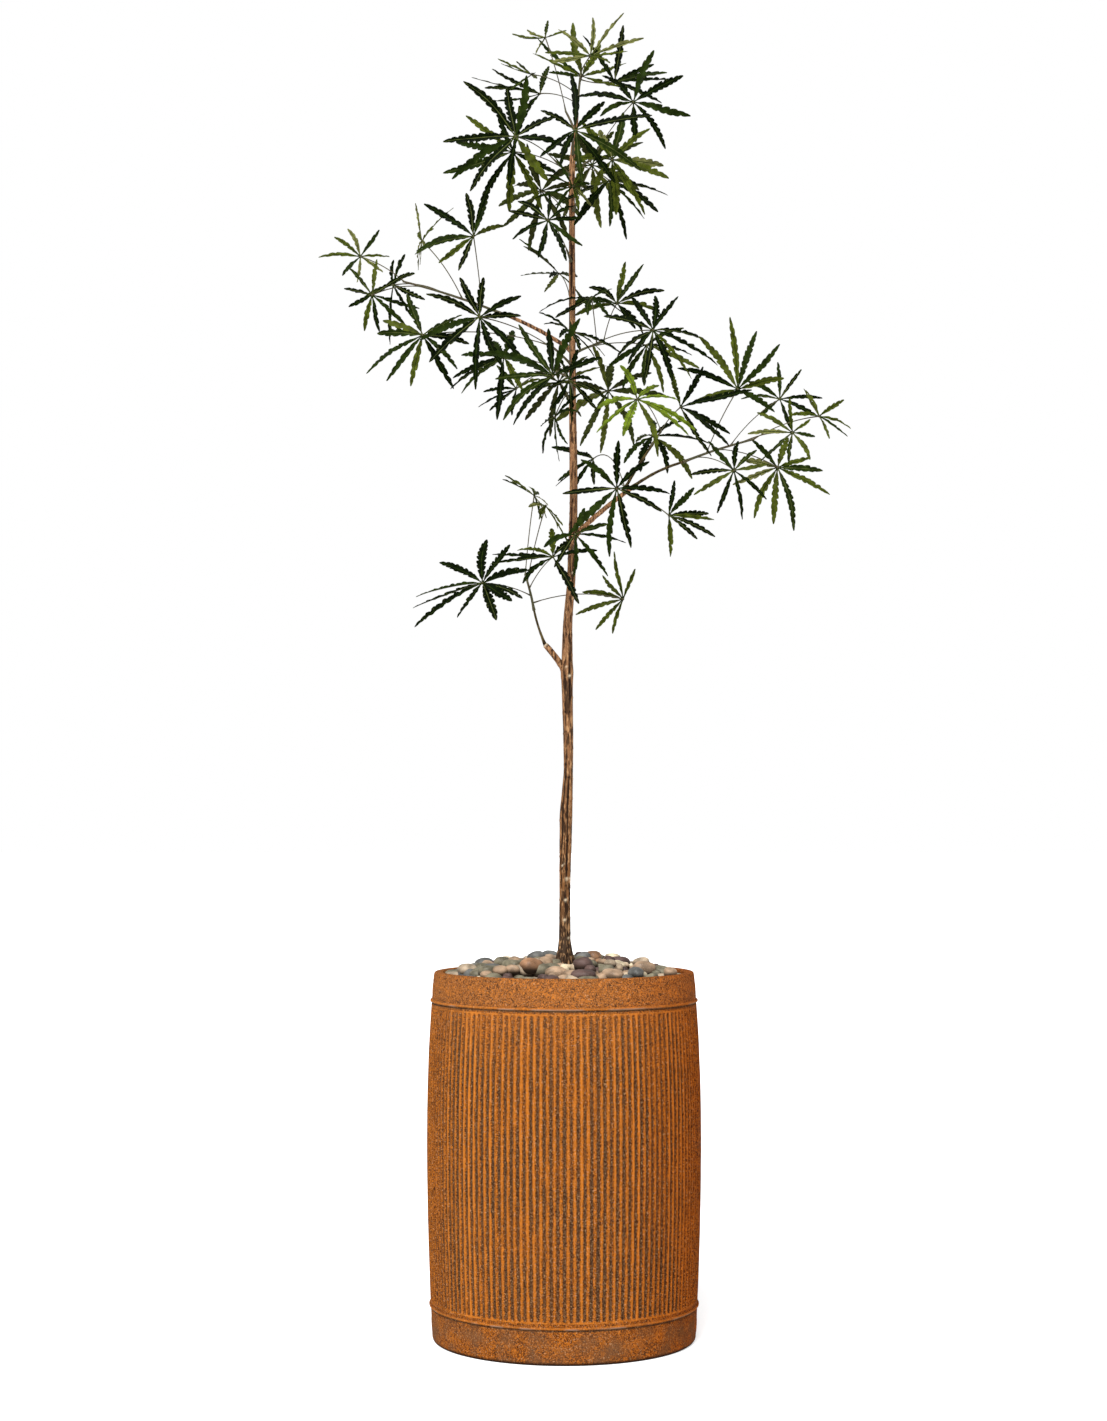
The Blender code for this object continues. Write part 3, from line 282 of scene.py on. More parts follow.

# The greens that the leaflets of a leaf are dealt from. They are partly the leaves' own tones and partly
# painted light: lighter greens dealt among a darker leaf's leaflets stand in for leaflets that catch the
# light
GREENS = ("deep", "mid", "olive", "lime", "pale")
GREEN_MIX = {
    "deep": ("deep",) * 7 + ("mid",) * 3 + ("olive",),
    "mid": ("mid",) * 5 + ("deep",) * 3 + ("olive",) * 2,
    "olive": ("olive",) * 6 + ("mid",) * 2 + ("pale",) * 2,
    "lime": ("lime",) * 4 + ("olive",),
    "pale": ("pale",) * 3 + ("olive",) * 2,
}
MASSES = (
    Mass("foliage_crown_right", "trunk", 1.941, 350, 35, 0.035, 0.30, 0.16, (
        Leaf(340, -30, 0.057, 280, 60, 180, 180, 8, 0.106, "deep"),
        Leaf(292, -12, 0.106, 280, 70, 75, 300, 11, 0.106, "olive"),
        Leaf(356, 54, 0.114, 268, 82, 35, 310, 8, 0.106, "deep"),
    )),
    Mass("foliage_crown_tip", "trunk", TRUNK[-1].height, 75, 74, 0.082, 0.25, -0.30, (
        Leaf(130, 22, 0.105, 270, 34, -75, 170, 7, 0.112, "deep"),
        Leaf(135, 28, 0.125, 270, 28, -90, 230, 6, 0.060, "deep"),
        Leaf(70, 56, 0.028, 280, 58, 10, 260, 8, 0.118, "olive"),
        Leaf(30, 5, 0.068, 280, 62, 50, 150, 6, 0.108, "deep"),
        Leaf(300, 31, 0.036, 262, 54, 15, 270, 8, 0.090, "pale"),
    )),
    Mass("foliage_crown_curl", "trunk", 2.010, 130, 62, 0.040, 0.30, -0.50, (
        Leaf(131, 69, 0.146, 250, 40, -70, 250, 6, 0.056, "olive"),
    )),
    Mass("foliage_crown_left", "trunk", 1.932, 225, 30, 0.035, 0.22, 0.16, (
        Leaf(214, 7, 0.100, 266, 72, -115, 280, 9, 0.118, "deep"),
        Leaf(235, 8, 0.116, 262, 84, -60, 330, 10, 0.122, "deep"),
    )),
    Mass("foliage_crown_front", "trunk", 1.966, 270, 40, 0.030, 0.35, 0.20, (
        Leaf(271, -9, 0.133, 272, 70, 90, 340, 10, 0.112, "deep"),
    )),
    Mass("foliage_crown_back", "trunk", 1.840, 95, 40, 0.040, 0.45, 0.20, (
        Leaf(75, 44, 0.200, 85, 60, 180, 360, 9, 0.116, "mid"),
        Leaf(108, 30, 0.180, 110, 65, 180, 360, 9, 0.112, "deep"),
    )),
    Mass("foliage_crown_knot", "trunk", 1.872, 290, 35, 0.020, 0.10, 0.60, (
        Leaf(262, 15, 0.052, 285, 62, -60, 360, 9, 0.062, "olive"),
    )),
    Mass("foliage_collar_front", "trunk", 1.788, 250, 40, 0.025, 0.22, 0.15, (
        Leaf(255, 10, 0.122, 266, 82, 160, 360, 9, 0.080, "deep"),
    )),
    Mass("foliage_collar_back", "trunk", 1.725, 100, 40, 0.025, 0.25, 0.10, (
        Leaf(100, 30, 0.112, 340, 32, 0, 300, 8, 0.100, "mid"),
    )),
    Mass("foliage_left_tip", "bough_left", 1.0, 180, 22, 0.172, 0.25, 0.15, (
        Leaf(253, 68, 0.114, 270, 74, -58, 240, 8, 0.100, "mid"),
        Leaf(126, 44, 0.172, 205, 80, 10, 330, 8, 0.080, "pale"),
        Leaf(138, 14, 0.122, 210, 80, 180, 350, 9, 0.094, "deep"),
        Leaf(217, -15, 0.104, 290, 78, 90, 340, 9, 0.080, "deep"),
        Leaf(165, 31, 0.090, 262, 74, -30, 330, 8, 0.068, "olive"),
    )),
    Mass("foliage_left_front", "trunk", 1.618, 235, 25, 0.060, 0.25, 0.16, (
        Leaf(215, 15, 0.166, 270, 80, -150, 350, 10, 0.112, "deep"),
        Leaf(194, 2, 0.215, 262, 76, -165, 300, 10, 0.104, "mid"),
    )),
    Mass("foliage_middle_left", "trunk", 1.596, 140, 30, 0.040, 0.25, 0.18, (
        Leaf(113, 2, 0.200, 250, 60, -80, 260, 7, 0.070, "deep"),
        Leaf(132, 17, 0.132, 262, 52, -100, 230, 8, 0.122, "deep"),
    )),
    Mass("foliage_middle_front", "trunk", 1.566, 265, 35, 0.050, 0.35, 0.20, (
        Leaf(255, -30, 0.124, 218, 78, 180, 340, 7, 0.072, "mid"),
        Leaf(268, -7, 0.124, 290, 70, 120, 320, 8, 0.074, "deep"),
        Leaf(260, -8, 0.167, 262, 74, -40, 200, 8, 0.108, "mid"),
        Leaf(269, 39, 0.093, 320, 50, 130, 350, 9, 0.092, "deep"),
    )),
    Mass("foliage_middle_right", "trunk", 1.638, 0, 25, 0.050, 0.30, 0.18, (
        Leaf(25, 8, 0.120, 280, 66, 150, 240, 7, 0.092, "mid"),
        Leaf(322, 5, 0.130, 272, 58, 95, 340, 11, 0.108, "deep"),
        Leaf(253, 66, 0.077, 275, 34, -100, 330, 8, 0.086, "deep"),
        Leaf(78, 36, 0.150, 268, 66, 30, 280, 9, 0.100, "deep"),
    )),
    Mass("foliage_middle_back", "trunk", 1.520, 90, 35, 0.050, 0.30, 0.20, (
        Leaf(70, 22, 0.200, 75, 62, 180, 360, 9, 0.118, "mid"),
        Leaf(98, 26, 0.186, 112, 48, 180, 360, 9, 0.104, "deep"),
    )),
    Mass("foliage_right_tip", "bough_right_long", 1.0, 2, 22, 0.125, 0.22, 0.16, (
        Leaf(299, -17, 0.124, 270, 84, -160, 360, 9, 0.082, "mid"),
        Leaf(325, 59, 0.117, 275, 82, 5, 240, 8, 0.108, "mid"),
        Leaf(24, -12, 0.115, 266, 84, 170, 330, 10, 0.100, "olive"),
        Leaf(36, 39, 0.140, 285, 68, 20, 330, 8, 0.076, "deep"),
        Leaf(319, 3, 0.102, 270, 70, -110, 340, 8, 0.066, "olive"),
        Leaf(7, 20, 0.119, 290, 66, 50, 290, 7, 0.068, "olive"),
    )),
    Mass("foliage_right_centre", "bough_right_upper", 1.0, 10, 60, 0.030, 0.25, 0.20, (
        Leaf(90, 14, 0.082, 275, 34, 105, 280, 9, 0.114, "deep"),
        Leaf(304, 32, 0.074, 280, 60, 78, 170, 7, 0.108, "deep"),
        Leaf(258, 4, 0.228, 272, 42, 110, 350, 10, 0.110, "lime"),
    )),
    Mass("foliage_right_low", "bough_right", 0.90, 275, 5, 0.020, 0.22, 0.16, (
        Leaf(353, -29, 0.083, 278, 60, 92, 210, 7, 0.088, "deep"),
        Leaf(107, 24, 0.192, 255, 50, -120, 180, 6, 0.080, "deep"),
        Leaf(262, -6, 0.138, 270, 84, -165, 360, 9, 0.104, "deep"),
    )),
    Mass("foliage_trunk_tuft", "trunk", 1.306, 280, 35, 0.020, 0.30, 0.20, (
        Leaf(270, 6, 0.077, 275, 66, 140, 290, 7, 0.080, "mid"),
    )),
    Mass("foliage_low_left", "shoot_low_left", 1.0, 176, 80, 0.062, 0.18, 0.14, (
        Leaf(38, 5, 0.196, 258, 78, -75, 210, 7, 0.080, "olive"),
        Leaf(194, 13, 0.085, 250, 38, -98, 360, 12, 0.130, "deep"),
        Leaf(296, 26, 0.100, 262, 46, -130, 340, 10, 0.104, "deep"),
        Leaf(297, 60, 0.136, 345, 40, 160, 300, 7, 0.070, "olive"),
        Leaf(82, 55, 0.177, 345, 38, 0, 330, 8, 0.070, "olive"),
    )),
)


# Camera: the photograph's place and lens
CAMERA_PLACE = (-0.0175, -4.12, 0.861)
CAMERA_LENS = 62.8
CAMERA_SHIFT = 0.077
SENSOR_WIDTH = 36.0
FAR_LIMIT = 200.0

# Floor and lights: each light's name, bearing, rise and softness, the last three in degrees
FLOOR_HALF_SIZE = 60.0
FLOOR_TONES = (0.955, 0.965)
WHITE = (1.0, 1.0, 1.0, 1.0)
LIGHTS = (("key", 250.0, 48.0, 26.0), ("fill", 310.0, 30.0, 60.0))

# The inputs of the shared grain effect, with their defaults, and the places of a Mix node's sockets
GRAIN = {"Scale": 40.0, "Detail": 3.0, "Low": 0.35, "High": 0.65, "Stretch": 1.0, "Curl": 0.0}
MIX_MASK, MIX_FIRST, MIX_SECOND, MIX_RESULT = 0, 6, 7, 2


def colour(name, words, default):
    return FloatVectorProperty(
        name=name, description=words, subtype="COLOR", size=3, min=0.0, max=1.0, default=default
    )


def amount(name, words, default, **more):
    return FloatProperty(name=name, description=words, default=default, min=0.0, **more)


class PlanterLooks(PropertyGroup):
    flutes: IntProperty(
        name="Flutes", description="Upright grooves round the barrel", default=132, min=12
    )
    flute_depth: amount("Flute Depth", "How deep each groove is cut", 0.0021, unit="LENGTH")
    flute_width: amount("Flute Width", "Width of a groove at the surface", 0.0074, unit="LENGTH")
    rust: colour("Rust", "The planter's main colour", (0.350, 0.096, 0.012))
    ridge: colour("Ridge", "Raised edges, worn bright", (0.625, 0.195, 0.024))
    groove: colour("Groove", "The dark floor of the grooves", (0.078, 0.039, 0.018))
    # Dark stains and pits, and also the painted contact shadow along the bottom of the foot
    stain_and_contact_shadow: colour("Stain", "Dark stains and pits", (0.060, 0.024, 0.010))
    speck: colour("Speck", "Small pale specks in the grooves", (0.600, 0.330, 0.160))
    chip: colour("Chip", "Pale worn stretches of the beads", (0.380, 0.265, 0.195))
    soiled: colour("Soiled", "Brown soiling of the foot band", (0.150, 0.072, 0.034))
    # Painted shade: the planter's right side is darkened and reddened as if in shade
    aged: colour("Aged", "Tint of the darker, redder right side", (0.860, 0.680, 0.500))


class PebbleLooks(PropertyGroup):
    grey_green: colour("Grey Green", "Grey-green pebbles", (0.215, 0.190, 0.125))
    blue_grey: colour("Blue Grey", "Blue-grey pebbles", (0.150, 0.150, 0.140))
    tan: colour("Tan", "Tan pebbles", (0.430, 0.290, 0.185))
    terracotta: colour("Terracotta", "Terracotta pebbles", (0.360, 0.190, 0.100))
    brown_purple: colour("Brown Purple", "Dark brown pebbles", (0.110, 0.066, 0.056))
    beige: colour("Beige", "Beige pebbles", (0.500, 0.385, 0.265))
    cream: colour("Cream", "Cream pebbles", (0.720, 0.590, 0.400))
    # The soil colour, dimmed, is also the painted shade on the pebbles' undersides
    soil: colour("Soil", "Potting soil between the pebbles", (0.030, 0.020, 0.013))


class BarkLooks(PropertyGroup):
    low: colour("Low Bark", "Old bark near the soil", (0.205, 0.088, 0.030))
    high: colour("High Bark", "Young bark among the leaves", (0.300, 0.148, 0.070))
    streak: colour("Streak", "Dark lengthwise streaks", (0.018, 0.008, 0.004))
    damp: colour("Damp", "Dark foot of the trunk", (0.052, 0.034, 0.022))
    fleck: colour("Fleck", "Small golden flecks", (0.540, 0.300, 0.140))
    scar: colour("Scar", "Pale scars of old leaves", (0.780, 0.620, 0.420))
    shoot: colour("Shoot", "Thin young shoots", (0.064, 0.046, 0.016))
    stalk: colour("Stalk", "Leaf stalks", (0.075, 0.072, 0.028))


class LeafLooks(PropertyGroup):
    tooth_pitch: amount("Tooth Pitch", "Length of each tooth on a leaflet", 0.0120, unit="LENGTH")
    deep: colour("Deep", "Deep green leaves", (0.0032, 0.0068, 0.0008))
    mid: colour("Mid", "Mid green leaves", (0.015, 0.027, 0.0030))
    olive: colour("Olive", "Olive leaves", (0.062, 0.078, 0.008))
    lime: colour("Lime", "Lime green young leaf", (0.120, 0.175, 0.012))
    pale: colour("Pale", "Pale olive leaves", (0.140, 0.145, 0.045))
    rib: colour("Rib", "Midribs and petiolules", (0.060, 0.072, 0.018))


class StageLooks(PropertyGroup):
    surround: amount("Surround", "Strength of the even light from all sides", 0.36)
    key: amount("Key", "Strength of the light from the upper left", 3.6)
    fill: amount("Fill", "Strength of the light from the right", 0.25)
    floor_glow: amount("Floor Glow", "How much the pale floor itself seems to glow", 0.60)


class Build:
    """The corners, faces and material numbers of a mesh that is being collected."""

    def __init__(self):
        self.corners = []
        self.faces = []
        self.kinds = []

    def add(self, corners, faces, kinds=None):
        """Add corners and faces, numbered from nought."""
        first = len(self.corners)
        self.corners.extend(corners)
        self.faces.extend(tuple(first + i for i in face) for face in faces)
        self.kinds.extend(kinds or [0] * len(faces))
        return self


def finish_piece(name, build, materials, nodes=(), smooth_angle=None, values=None):
    """Make a collected mesh into a piece that rides on the root and stands for its nodes."""
    mesh = bpy.data.meshes.new(name)
    mesh.from_pydata([tuple(c) for c in build.corners], [], build.faces)
    for material in materials:
        mesh.materials.append(material)
    mesh.polygons.foreach_set("material_index", build.kinds)
    for label, numbers in (values or {}).items():
        attribute = mesh.attributes.new(label, "FLOAT", "POINT")
        attribute.data.foreach_set("value", np.asarray(numbers, np.float32))
    bm = bmesh.new()
    bm.from_mesh(mesh)
    bmesh.ops.recalc_face_normals(bm, faces=bm.faces)
    bm.to_mesh(mesh)
    bm.free()
    mesh.shade_smooth()
    if smooth_angle is not None:
        mesh.set_sharp_from_angle(angle=math.radians(smooth_angle))
    piece = put_in_scene(name, mesh)
    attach(piece, ROOT)
    if nodes:
        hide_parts(*nodes)


def put_in_scene(name, data):
    item = bpy.data.objects.new(name, data)
    bpy.context.scene.collection.objects.link(item)
    return item


def shares(steps):
    return [i / steps for i in range(steps + 1)]


def ring(sides):
    """Evenly spaced angles round a full turn."""
    return [math.tau * i / sides for i in range(sides)]


def spoke(turn):
    return Vector((math.cos(turn), math.sin(turn), 0.0))


def closed_faces(rows, columns):
    """Quads round a stack of rings, and a fan from each end ring to its middle corner."""
    top = rows * columns
    last = top - columns
    pairs = [(i, (i + 1) % columns) for i in range(columns)]
    faces = []
    for row in range(0, last, columns):
        faces += [(row + i, row + j, row + columns + j, row + columns + i) for i, j in pairs]
    for i, j in pairs:
        faces.append((top, j, i))
        faces.append((top + 1, last + i, last + j))
    return faces


# The shared effect and the materials

def place_node(tree, kind, inputs, **settings):
    """Add a shader node. Its inputs, by name or number, take plain values or links from sockets."""
    node = tree.nodes.new("ShaderNode" + kind)
    for name, value in settings.items():
        setattr(node, name, value)
    for label, value in inputs.items():
        if isinstance(value, NodeSocket):
            tree.links.new(value, node.inputs[label])
        else:
            node.inputs[label].default_value = value
    return node


def grain_group():
    """Noise on a surface, drawn out along the height and curled, and its mask from Low to High."""
    tree = bpy.data.node_groups.new("Grain", "ShaderNodeTree")
    for label, value in GRAIN.items():
        socket = tree.interface.new_socket(label, in_out="INPUT", socket_type="NodeSocketFloat")
        socket.default_value = value
    for label in ("Mask", "Height"):
        tree.interface.new_socket(label, in_out="OUTPUT", socket_type="NodeSocketFloat")
    entry = tree.nodes.new("NodeGroupInput").outputs
    leaving = tree.nodes.new("NodeGroupOutput").inputs
    place = place_node(tree, "TexCoord", {}).outputs["Object"]
    drawn = place_node(tree, "CombineXYZ", {"X": 1.0, "Y": 1.0, "Z": entry["Stretch"]}).outputs["Vector"]
    scaled = place_node(tree, "VectorMath", {0: place, 1: drawn}, operation="MULTIPLY").outputs["Vector"]
    pattern = {"Vector": scaled, "Scale": entry["Scale"], "Detail": entry["Detail"]}
    height = place_node(tree, "TexNoise", {**pattern, "Distortion": entry["Curl"]}).outputs["Fac"]
    ramp = {"Value": height, "From Min": entry["Low"], "From Max": entry["High"]}
    tree.links.new(place_node(tree, "MapRange", ramp).outputs["Result"], leaving["Mask"])
    tree.links.new(height, leaving["Height"])
    return tree


class Finish:
    """A material whose colour is laid on coat by coat, each through a mask."""

    def __init__(self, name, roughness, specular, base):
        self.material = bpy.data.materials.new(name)
        self.material.use_nodes = True
        self.tree = self.material.node_tree
        self.sockets = self.tree.nodes["Principled BSDF"].inputs
        self.sockets["Roughness"].default_value = roughness
        self.sockets["Specular IOR Level"].default_value = specular
        self.colour = base

    def grain(self, *values, output="Mask"):
        """The shared grain with its own scale, detail, low, high, stretch and curl, in that order."""
        group = bpy.data.node_groups.get("Grain") or grain_group()
        return place_node(self.tree, "Group", dict(enumerate(values)), node_tree=group).outputs[output]

    def ramp(self, value, low, high, out_low=0.0, out_high=1.0):
        """A value carried from one range to another, and kept inside it."""
        ranges = {"From Min": low, "From Max": high, "To Min": out_low, "To Max": out_high}
        return place_node(self.tree, "MapRange", {"Value": value, **ranges}).outputs["Result"]

    def times(self, first, second):
        return place_node(self.tree, "Math", {0: first, 1: second}, operation="MULTIPLY").outputs["Value"]

    def carried(self, label):
        """A value that the mesh carries at each corner."""
        return place_node(self.tree, "Attribute", {}, attribute_name=label).outputs["Fac"]

    def along(self, axis):
        """Where a point lies along an axis."""
        place = place_node(self.tree, "TexCoord", {}).outputs["Object"]
        return place_node(self.tree, "SeparateXYZ", {"Vector": place}).outputs[axis]

    def mix(self, mask, first, second, blend="MIX"):
        """A colour between two, each a socket or plain, as far as the mask says."""
        first, second = (c if isinstance(c, NodeSocket) else (*c, 1.0) for c in (first, second))
        inputs = {MIX_MASK: mask, MIX_FIRST: first, MIX_SECOND: second}
        return place_node(self.tree, "Mix", inputs, data_type="RGBA", blend_type=blend).outputs[MIX_RESULT]

    def lay(self, mask, coat, most=1.0, blend="MIX"):
        """Lay a coat over the colour so far, at most so thick."""
        self.colour = self.mix(self.ramp(mask, 0.0, 1.0, 0.0, most), self.colour, coat, blend)

    def done(self, height, strength, distance, worn=None):
        """Link the colour, a bump, and a roughness that follows a mask between two values."""
        relief = {"Height": height, "Strength": strength, "Distance": distance}
        bump = place_node(self.tree, "Bump", relief).outputs["Normal"]
        self.tree.links.new(self.colour, self.sockets["Base Color"])
        self.tree.links.new(bump, self.sockets["Normal"])
        if worn:
            self.tree.links.new(self.ramp(worn[0], 0.0, 1.0, *worn[1:]), self.sockets["Roughness"])
        return self.material


def dimmed(tone, share):
    return tuple(c * share for c in tone)


def rust_material(looks):
    """Rust-orange finish, dark in the grooves and worn bright on raised edges."""
    rust = Finish("rust finish", 0.75, 0.02, dimmed(looks.rust, 0.78))
    relief = rust.carried("relief")
    above = rust.along("Z")
    patches = rust.grain(9.0, 4.0, 0.35, 0.68)
    pitting = (230.0, 3.0, 0.51, 0.56, 1.0, 2.6)
    height = rust.grain(*pitting, output="Height")
    rust.lay(patches, looks.rust)
    rust.lay(rust.ramp(above, 0.555, 0.570), looks.speck, 0.11)
    rust.lay(rust.ramp(height, 0.48, 0.41), looks.ridge, 0.75)
    rust.lay(rust.grain(*pitting), looks.stain_and_contact_shadow, 0.95)
    rust.lay(rust.ramp(relief, 0.05, 0.85), looks.ridge)
    sunk = rust.times(rust.ramp(relief, -0.20, -0.75), rust.grain(190.0, 3.0, 0.24, 0.38))
    kept = rust.ramp(rust.grain(6.0, 3.0, 0.30, 0.55), 0.0, 1.0, 0.72, 1.0)
    grains = rust.grain(420.0, 2.0, 0.42, 0.60)
    floor = rust.mix(grains, dimmed(looks.groove, 0.65), dimmed(looks.groove, 1.9))
    rust.lay(rust.times(sunk, kept), floor)
    soiled = rust.times(rust.grain(24.0, 4.0, 0.38, 0.60), rust.ramp(above, 0.068, 0.040))
    rust.lay(soiled, looks.soiled, 0.75)
    rust.lay(rust.grain(430.0, 2.0, 0.61, 0.66), looks.speck, 0.52)
    rust.lay(rust.carried("chip"), looks.chip)
    rust.lay(rust.ramp(above, 0.45, 0.56), looks.speck, 0.05)
    # Painted shade: towards the right side (+X) the colour is multiplied darker and redder
    rust.lay(rust.ramp(rust.along("X"), 0.07, 0.21), looks.aged, 1.0, "MULTIPLY")
    # Painted contact shadow: the lowest few millimetres of the foot are darkened almost to black
    rust.lay(rust.ramp(above, 0.0070, 0.0030), dimmed(looks.stain_and_contact_shadow, 0.4), 0.95)
    return rust.done(height, 0.9, 0.003, (patches, 0.62, 0.85))


def pebble_material(kind, tone, soil):
    """Smooth river stone with soft bands, fine specks and a satin wear, and painted shade underneath."""
    stone = Finish("pebble " + kind, 0.5, 0.25, dimmed(tone, 0.48))
    bands = stone.grain(55.0, 2.0, 0.34, 0.66)
    specks = stone.grain(900.0, 3.0, 0.56, 0.64)
    stone.lay(bands, dimmed(tone, 1.2))
    stone.lay(specks, [min(1.0, c * 1.5 + 0.04) for c in tone], 0.4)
    # Painted shade: each pebble darkens towards its underside
    stone.lay(stone.ramp(stone.carried("under"), -0.30, 0.35), dimmed(soil, 0.7), 0.95)
    return stone.done(specks, 0.25, 0.0003, (bands, 0.38, 0.6))


def soil_material(tone):
    soil = Finish("potting soil", 0.95, 0.2, dimmed(tone, 0.45))
    crumbs = soil.grain(420.0, 5.0, 0.35, 0.65)
    soil.lay(crumbs, dimmed(tone, 1.9))
    return soil.done(crumbs, 0.9, 0.002)


def bark_material(name, looks, low, high, fleck):
    """Bark that reddens with height, streaked dark lengthwise, with pale scars."""
    bark = Finish(name, 0.8, 0.08, low)
    above = bark.along("Z")
    flecks = bark.grain(300.0, 4.0, 0.52, 0.62, 0.30)
    bark.lay(bark.ramp(above, 0.72, 1.25), high)
    bark.lay(bark.ramp(above, 0.745, 0.665), looks.damp, 0.9)
    bark.lay(flecks, fleck, 0.75)
    bark.lay(bark.grain(280.0, 4.0, 0.51, 0.57, 0.15), looks.streak, 0.85)
    bark.lay(bark.ramp(bark.carried("relief"), -0.15, -0.9), looks.streak)
    bark.lay(bark.carried("scar"), looks.scar)
    return bark.done(bark.grain(900.0, 4.0, 0.3, 0.7, 0.15), 0.6, 0.0006, (flecks, 0.62, 0.88))


def stalk_material(name, tone, tip):
    """Thin green stems with a reddish flush."""
    stalk = Finish(name, 0.55, 0.35, tone)
    stalk.lay(stalk.grain(70.0, 2.0, 0.38, 0.62), tip)
    return stalk.done(stalk.grain(1400.0, 2.0, 0.3, 0.7), 0.3, 0.0002)


def leaf_material(name, tone, roughness, specular):
    """Leaf green with soft darker patches and a fine grain."""
    leaf = Finish(name, roughness, specular, dimmed(tone, 0.5))
    patches = leaf.grain(85.0, 3.0, 0.34, 0.66)
    leaf.lay(patches, dimmed(tone, 1.3))
    grain = leaf.grain(1100.0, 2.0, 0.3, 0.7)
    return leaf.done(grain, 0.35, 0.00025, (patches, roughness - 0.07, roughness + 0.09))


# Shape of the planter

def pot_radius(height):
    """Outer radius of the barrel wall at a height."""
    above = np.maximum(0.0, height - BELLY_HEIGHT) / (POT_HEIGHT - BELLY_HEIGHT)
    below = np.maximum(0.0, BELLY_HEIGHT - height) / BELLY_HEIGHT
    return BELLY_RADIUS - (BELLY_RADIUS - RIM_RADIUS) * above**2 - (BELLY_RADIUS - FOOT_RADIUS) * below**2


def wall_rows(start, end, steps, inset=0.0, first=1):
    """Radius and height of the rings along a stretch of wall, by default after its first one."""
    heights = np.linspace(start, end, steps + 1)[first:]
    return list(zip(pot_radius(heights) - inset, heights))


def round_rows(radius, height, rounding, turns):
    """Rings over a rounded edge or bead, about the middle of its arc."""
    turns = np.radians(turns)
    return list(zip(radius + rounding * np.cos(turns), height + rounding * np.sin(turns)))


def bead_rows(bead):
    heights = bead + BEAD_RADIUS * np.sin(np.radians(BEAD_TURNS))
    return round_rows(pot_radius(heights), bead, BEAD_RADIUS, BEAD_TURNS)


def planter_rows():
    """Rings of the inside, and of the outside from the lip down to the foot."""
    top, foot = BEADS[0] - BEAD_RADIUS, BEADS[1] + BEAD_RADIUS
    brim = POT_HEIGHT - LIP_ROUNDING
    inside = wall_rows(FLOOR_THICKNESS, brim, 4, WALL, 0)
    inside += [(RIM_RADIUS - WALL + inset, POT_HEIGHT - drop) for inset, drop in INNER_LIP]
    inside += round_rows(RIM_RADIUS - LIP_ROUNDING, brim, LIP_ROUNDING, (90, 67.5, 45, 22.5))
    outside = [(RIM_RADIUS, brim)]
    outside += wall_rows(brim, BEADS[0] + BEAD_RADIUS, 22) + bead_rows(BEADS[0])
    outside += wall_rows(top, top - FINE_STRETCH, 14)
    outside += wall_rows(top - FINE_STRETCH, foot + FINE_STRETCH, 22)
    outside += wall_rows(foot + FINE_STRETCH, foot, 14) + bead_rows(BEADS[1])
    outside += wall_rows(BEADS[1] - BEAD_RADIUS, FOOT_ROUNDING, 26)
    edge = round_rows(FOOT_RADIUS - FOOT_ROUNDING, FOOT_ROUNDING, FOOT_ROUNDING, (-22.5, -45, -67.5, -90))
    return inside, outside, edge


def swell(gap, width):
    """A round swelling: 1 at no gap, falling to 0 at the width."""
    return np.clip(1.0 - (gap / width) ** 2, 0.0, 1.0)


def stroke(across, up, start, end):
    """A raised stroke from start to end, round in section, at places on the band."""
    along, rise = end[0] - start[0], end[1] - start[1]
    share = ((across - start[0]) * along + (up - start[1]) * rise) / (along * along + rise * rise)
    share = np.clip(share, 0.0, 1.0)
    return swell(np.hypot(across - start[0] - share * along, up - start[1] - share * rise), STROKE_WIDTH)


def band_pattern(turn, height, low, high):
    """A common leafy scroll round a band: a wavy stem with short paired leaves."""
    tall = (high - low) / 2.0
    cell = math.tau / BAND_MOTIFS
    half = cell * RIM_RADIUS / 2.0
    number = np.floor(turn / cell)
    across = (turn - (number + 0.5) * cell) * RIM_RADIUS
    up = (height - (low + high) / 2.0) * np.where(number % 2 == 0, 1.0, -1.0)
    wave = STEM_WAVE * tall * np.cos(across / half * math.pi / 2.0)
    found = swell(up - wave, STROKE_WIDTH * 0.7)
    for i in range(-2, 3):
        foot = (half * STEM_WAVE * i, STEM_WAVE * tall * math.cos(STEM_WAVE * i * math.pi / 2.0))
        for side in (1.0, -1.0):
            tip = (foot[0] + half * 0.20, foot[1] + side * tall * (0.42 - 0.05 * abs(i)))
            found = np.maximum(found, stroke(across, up, foot, tip))
    return np.where((height > low) & (height < high), found, 0.0)


def flute_share(turn, height, looks):
    """How deep a place lies in its groove, from 0 to 1; the grooves end in half rounds."""
    cell = math.tau / looks.flutes
    number = np.floor(turn / cell + 0.5)
    wander = sum(np.sin(height * pace + number * shift) for pace, shift in FLUTE_WANDER_WAVES)
    breadth = sum(np.sin(height * pace + number * shift) for pace, shift in FLUTE_BREADTH_WAVES)
    across = ((turn / cell + 0.5) % 1.0 - 0.5) * cell * pot_radius(height) + FLUTE_WANDER * wander
    half = looks.flute_width / 2.0 * (1.0 + FLUTE_BREADTH_SPREAD * breadth)
    over_top = height - BEADS[0] + BEAD_RADIUS + FLUTE_END_GAPS[0] + half
    past_foot = BEADS[1] + BEAD_RADIUS + FLUTE_END_GAPS[1] + half - height
    beyond = np.maximum(0.0, np.maximum(over_top, past_foot))
    return swell(np.hypot(across, beyond), half)


def cloud(points, scale, seed):
    """Smooth noise from -1 to 1 at each place of a grid."""
    shift = Vector((seed * 7.3, seed * 3.1, seed * 5.7))
    found = [noise.noise(Vector(p) * scale + shift) for p in points.reshape(-1, 3)]
    return np.array(found).reshape(points.shape[:-1])


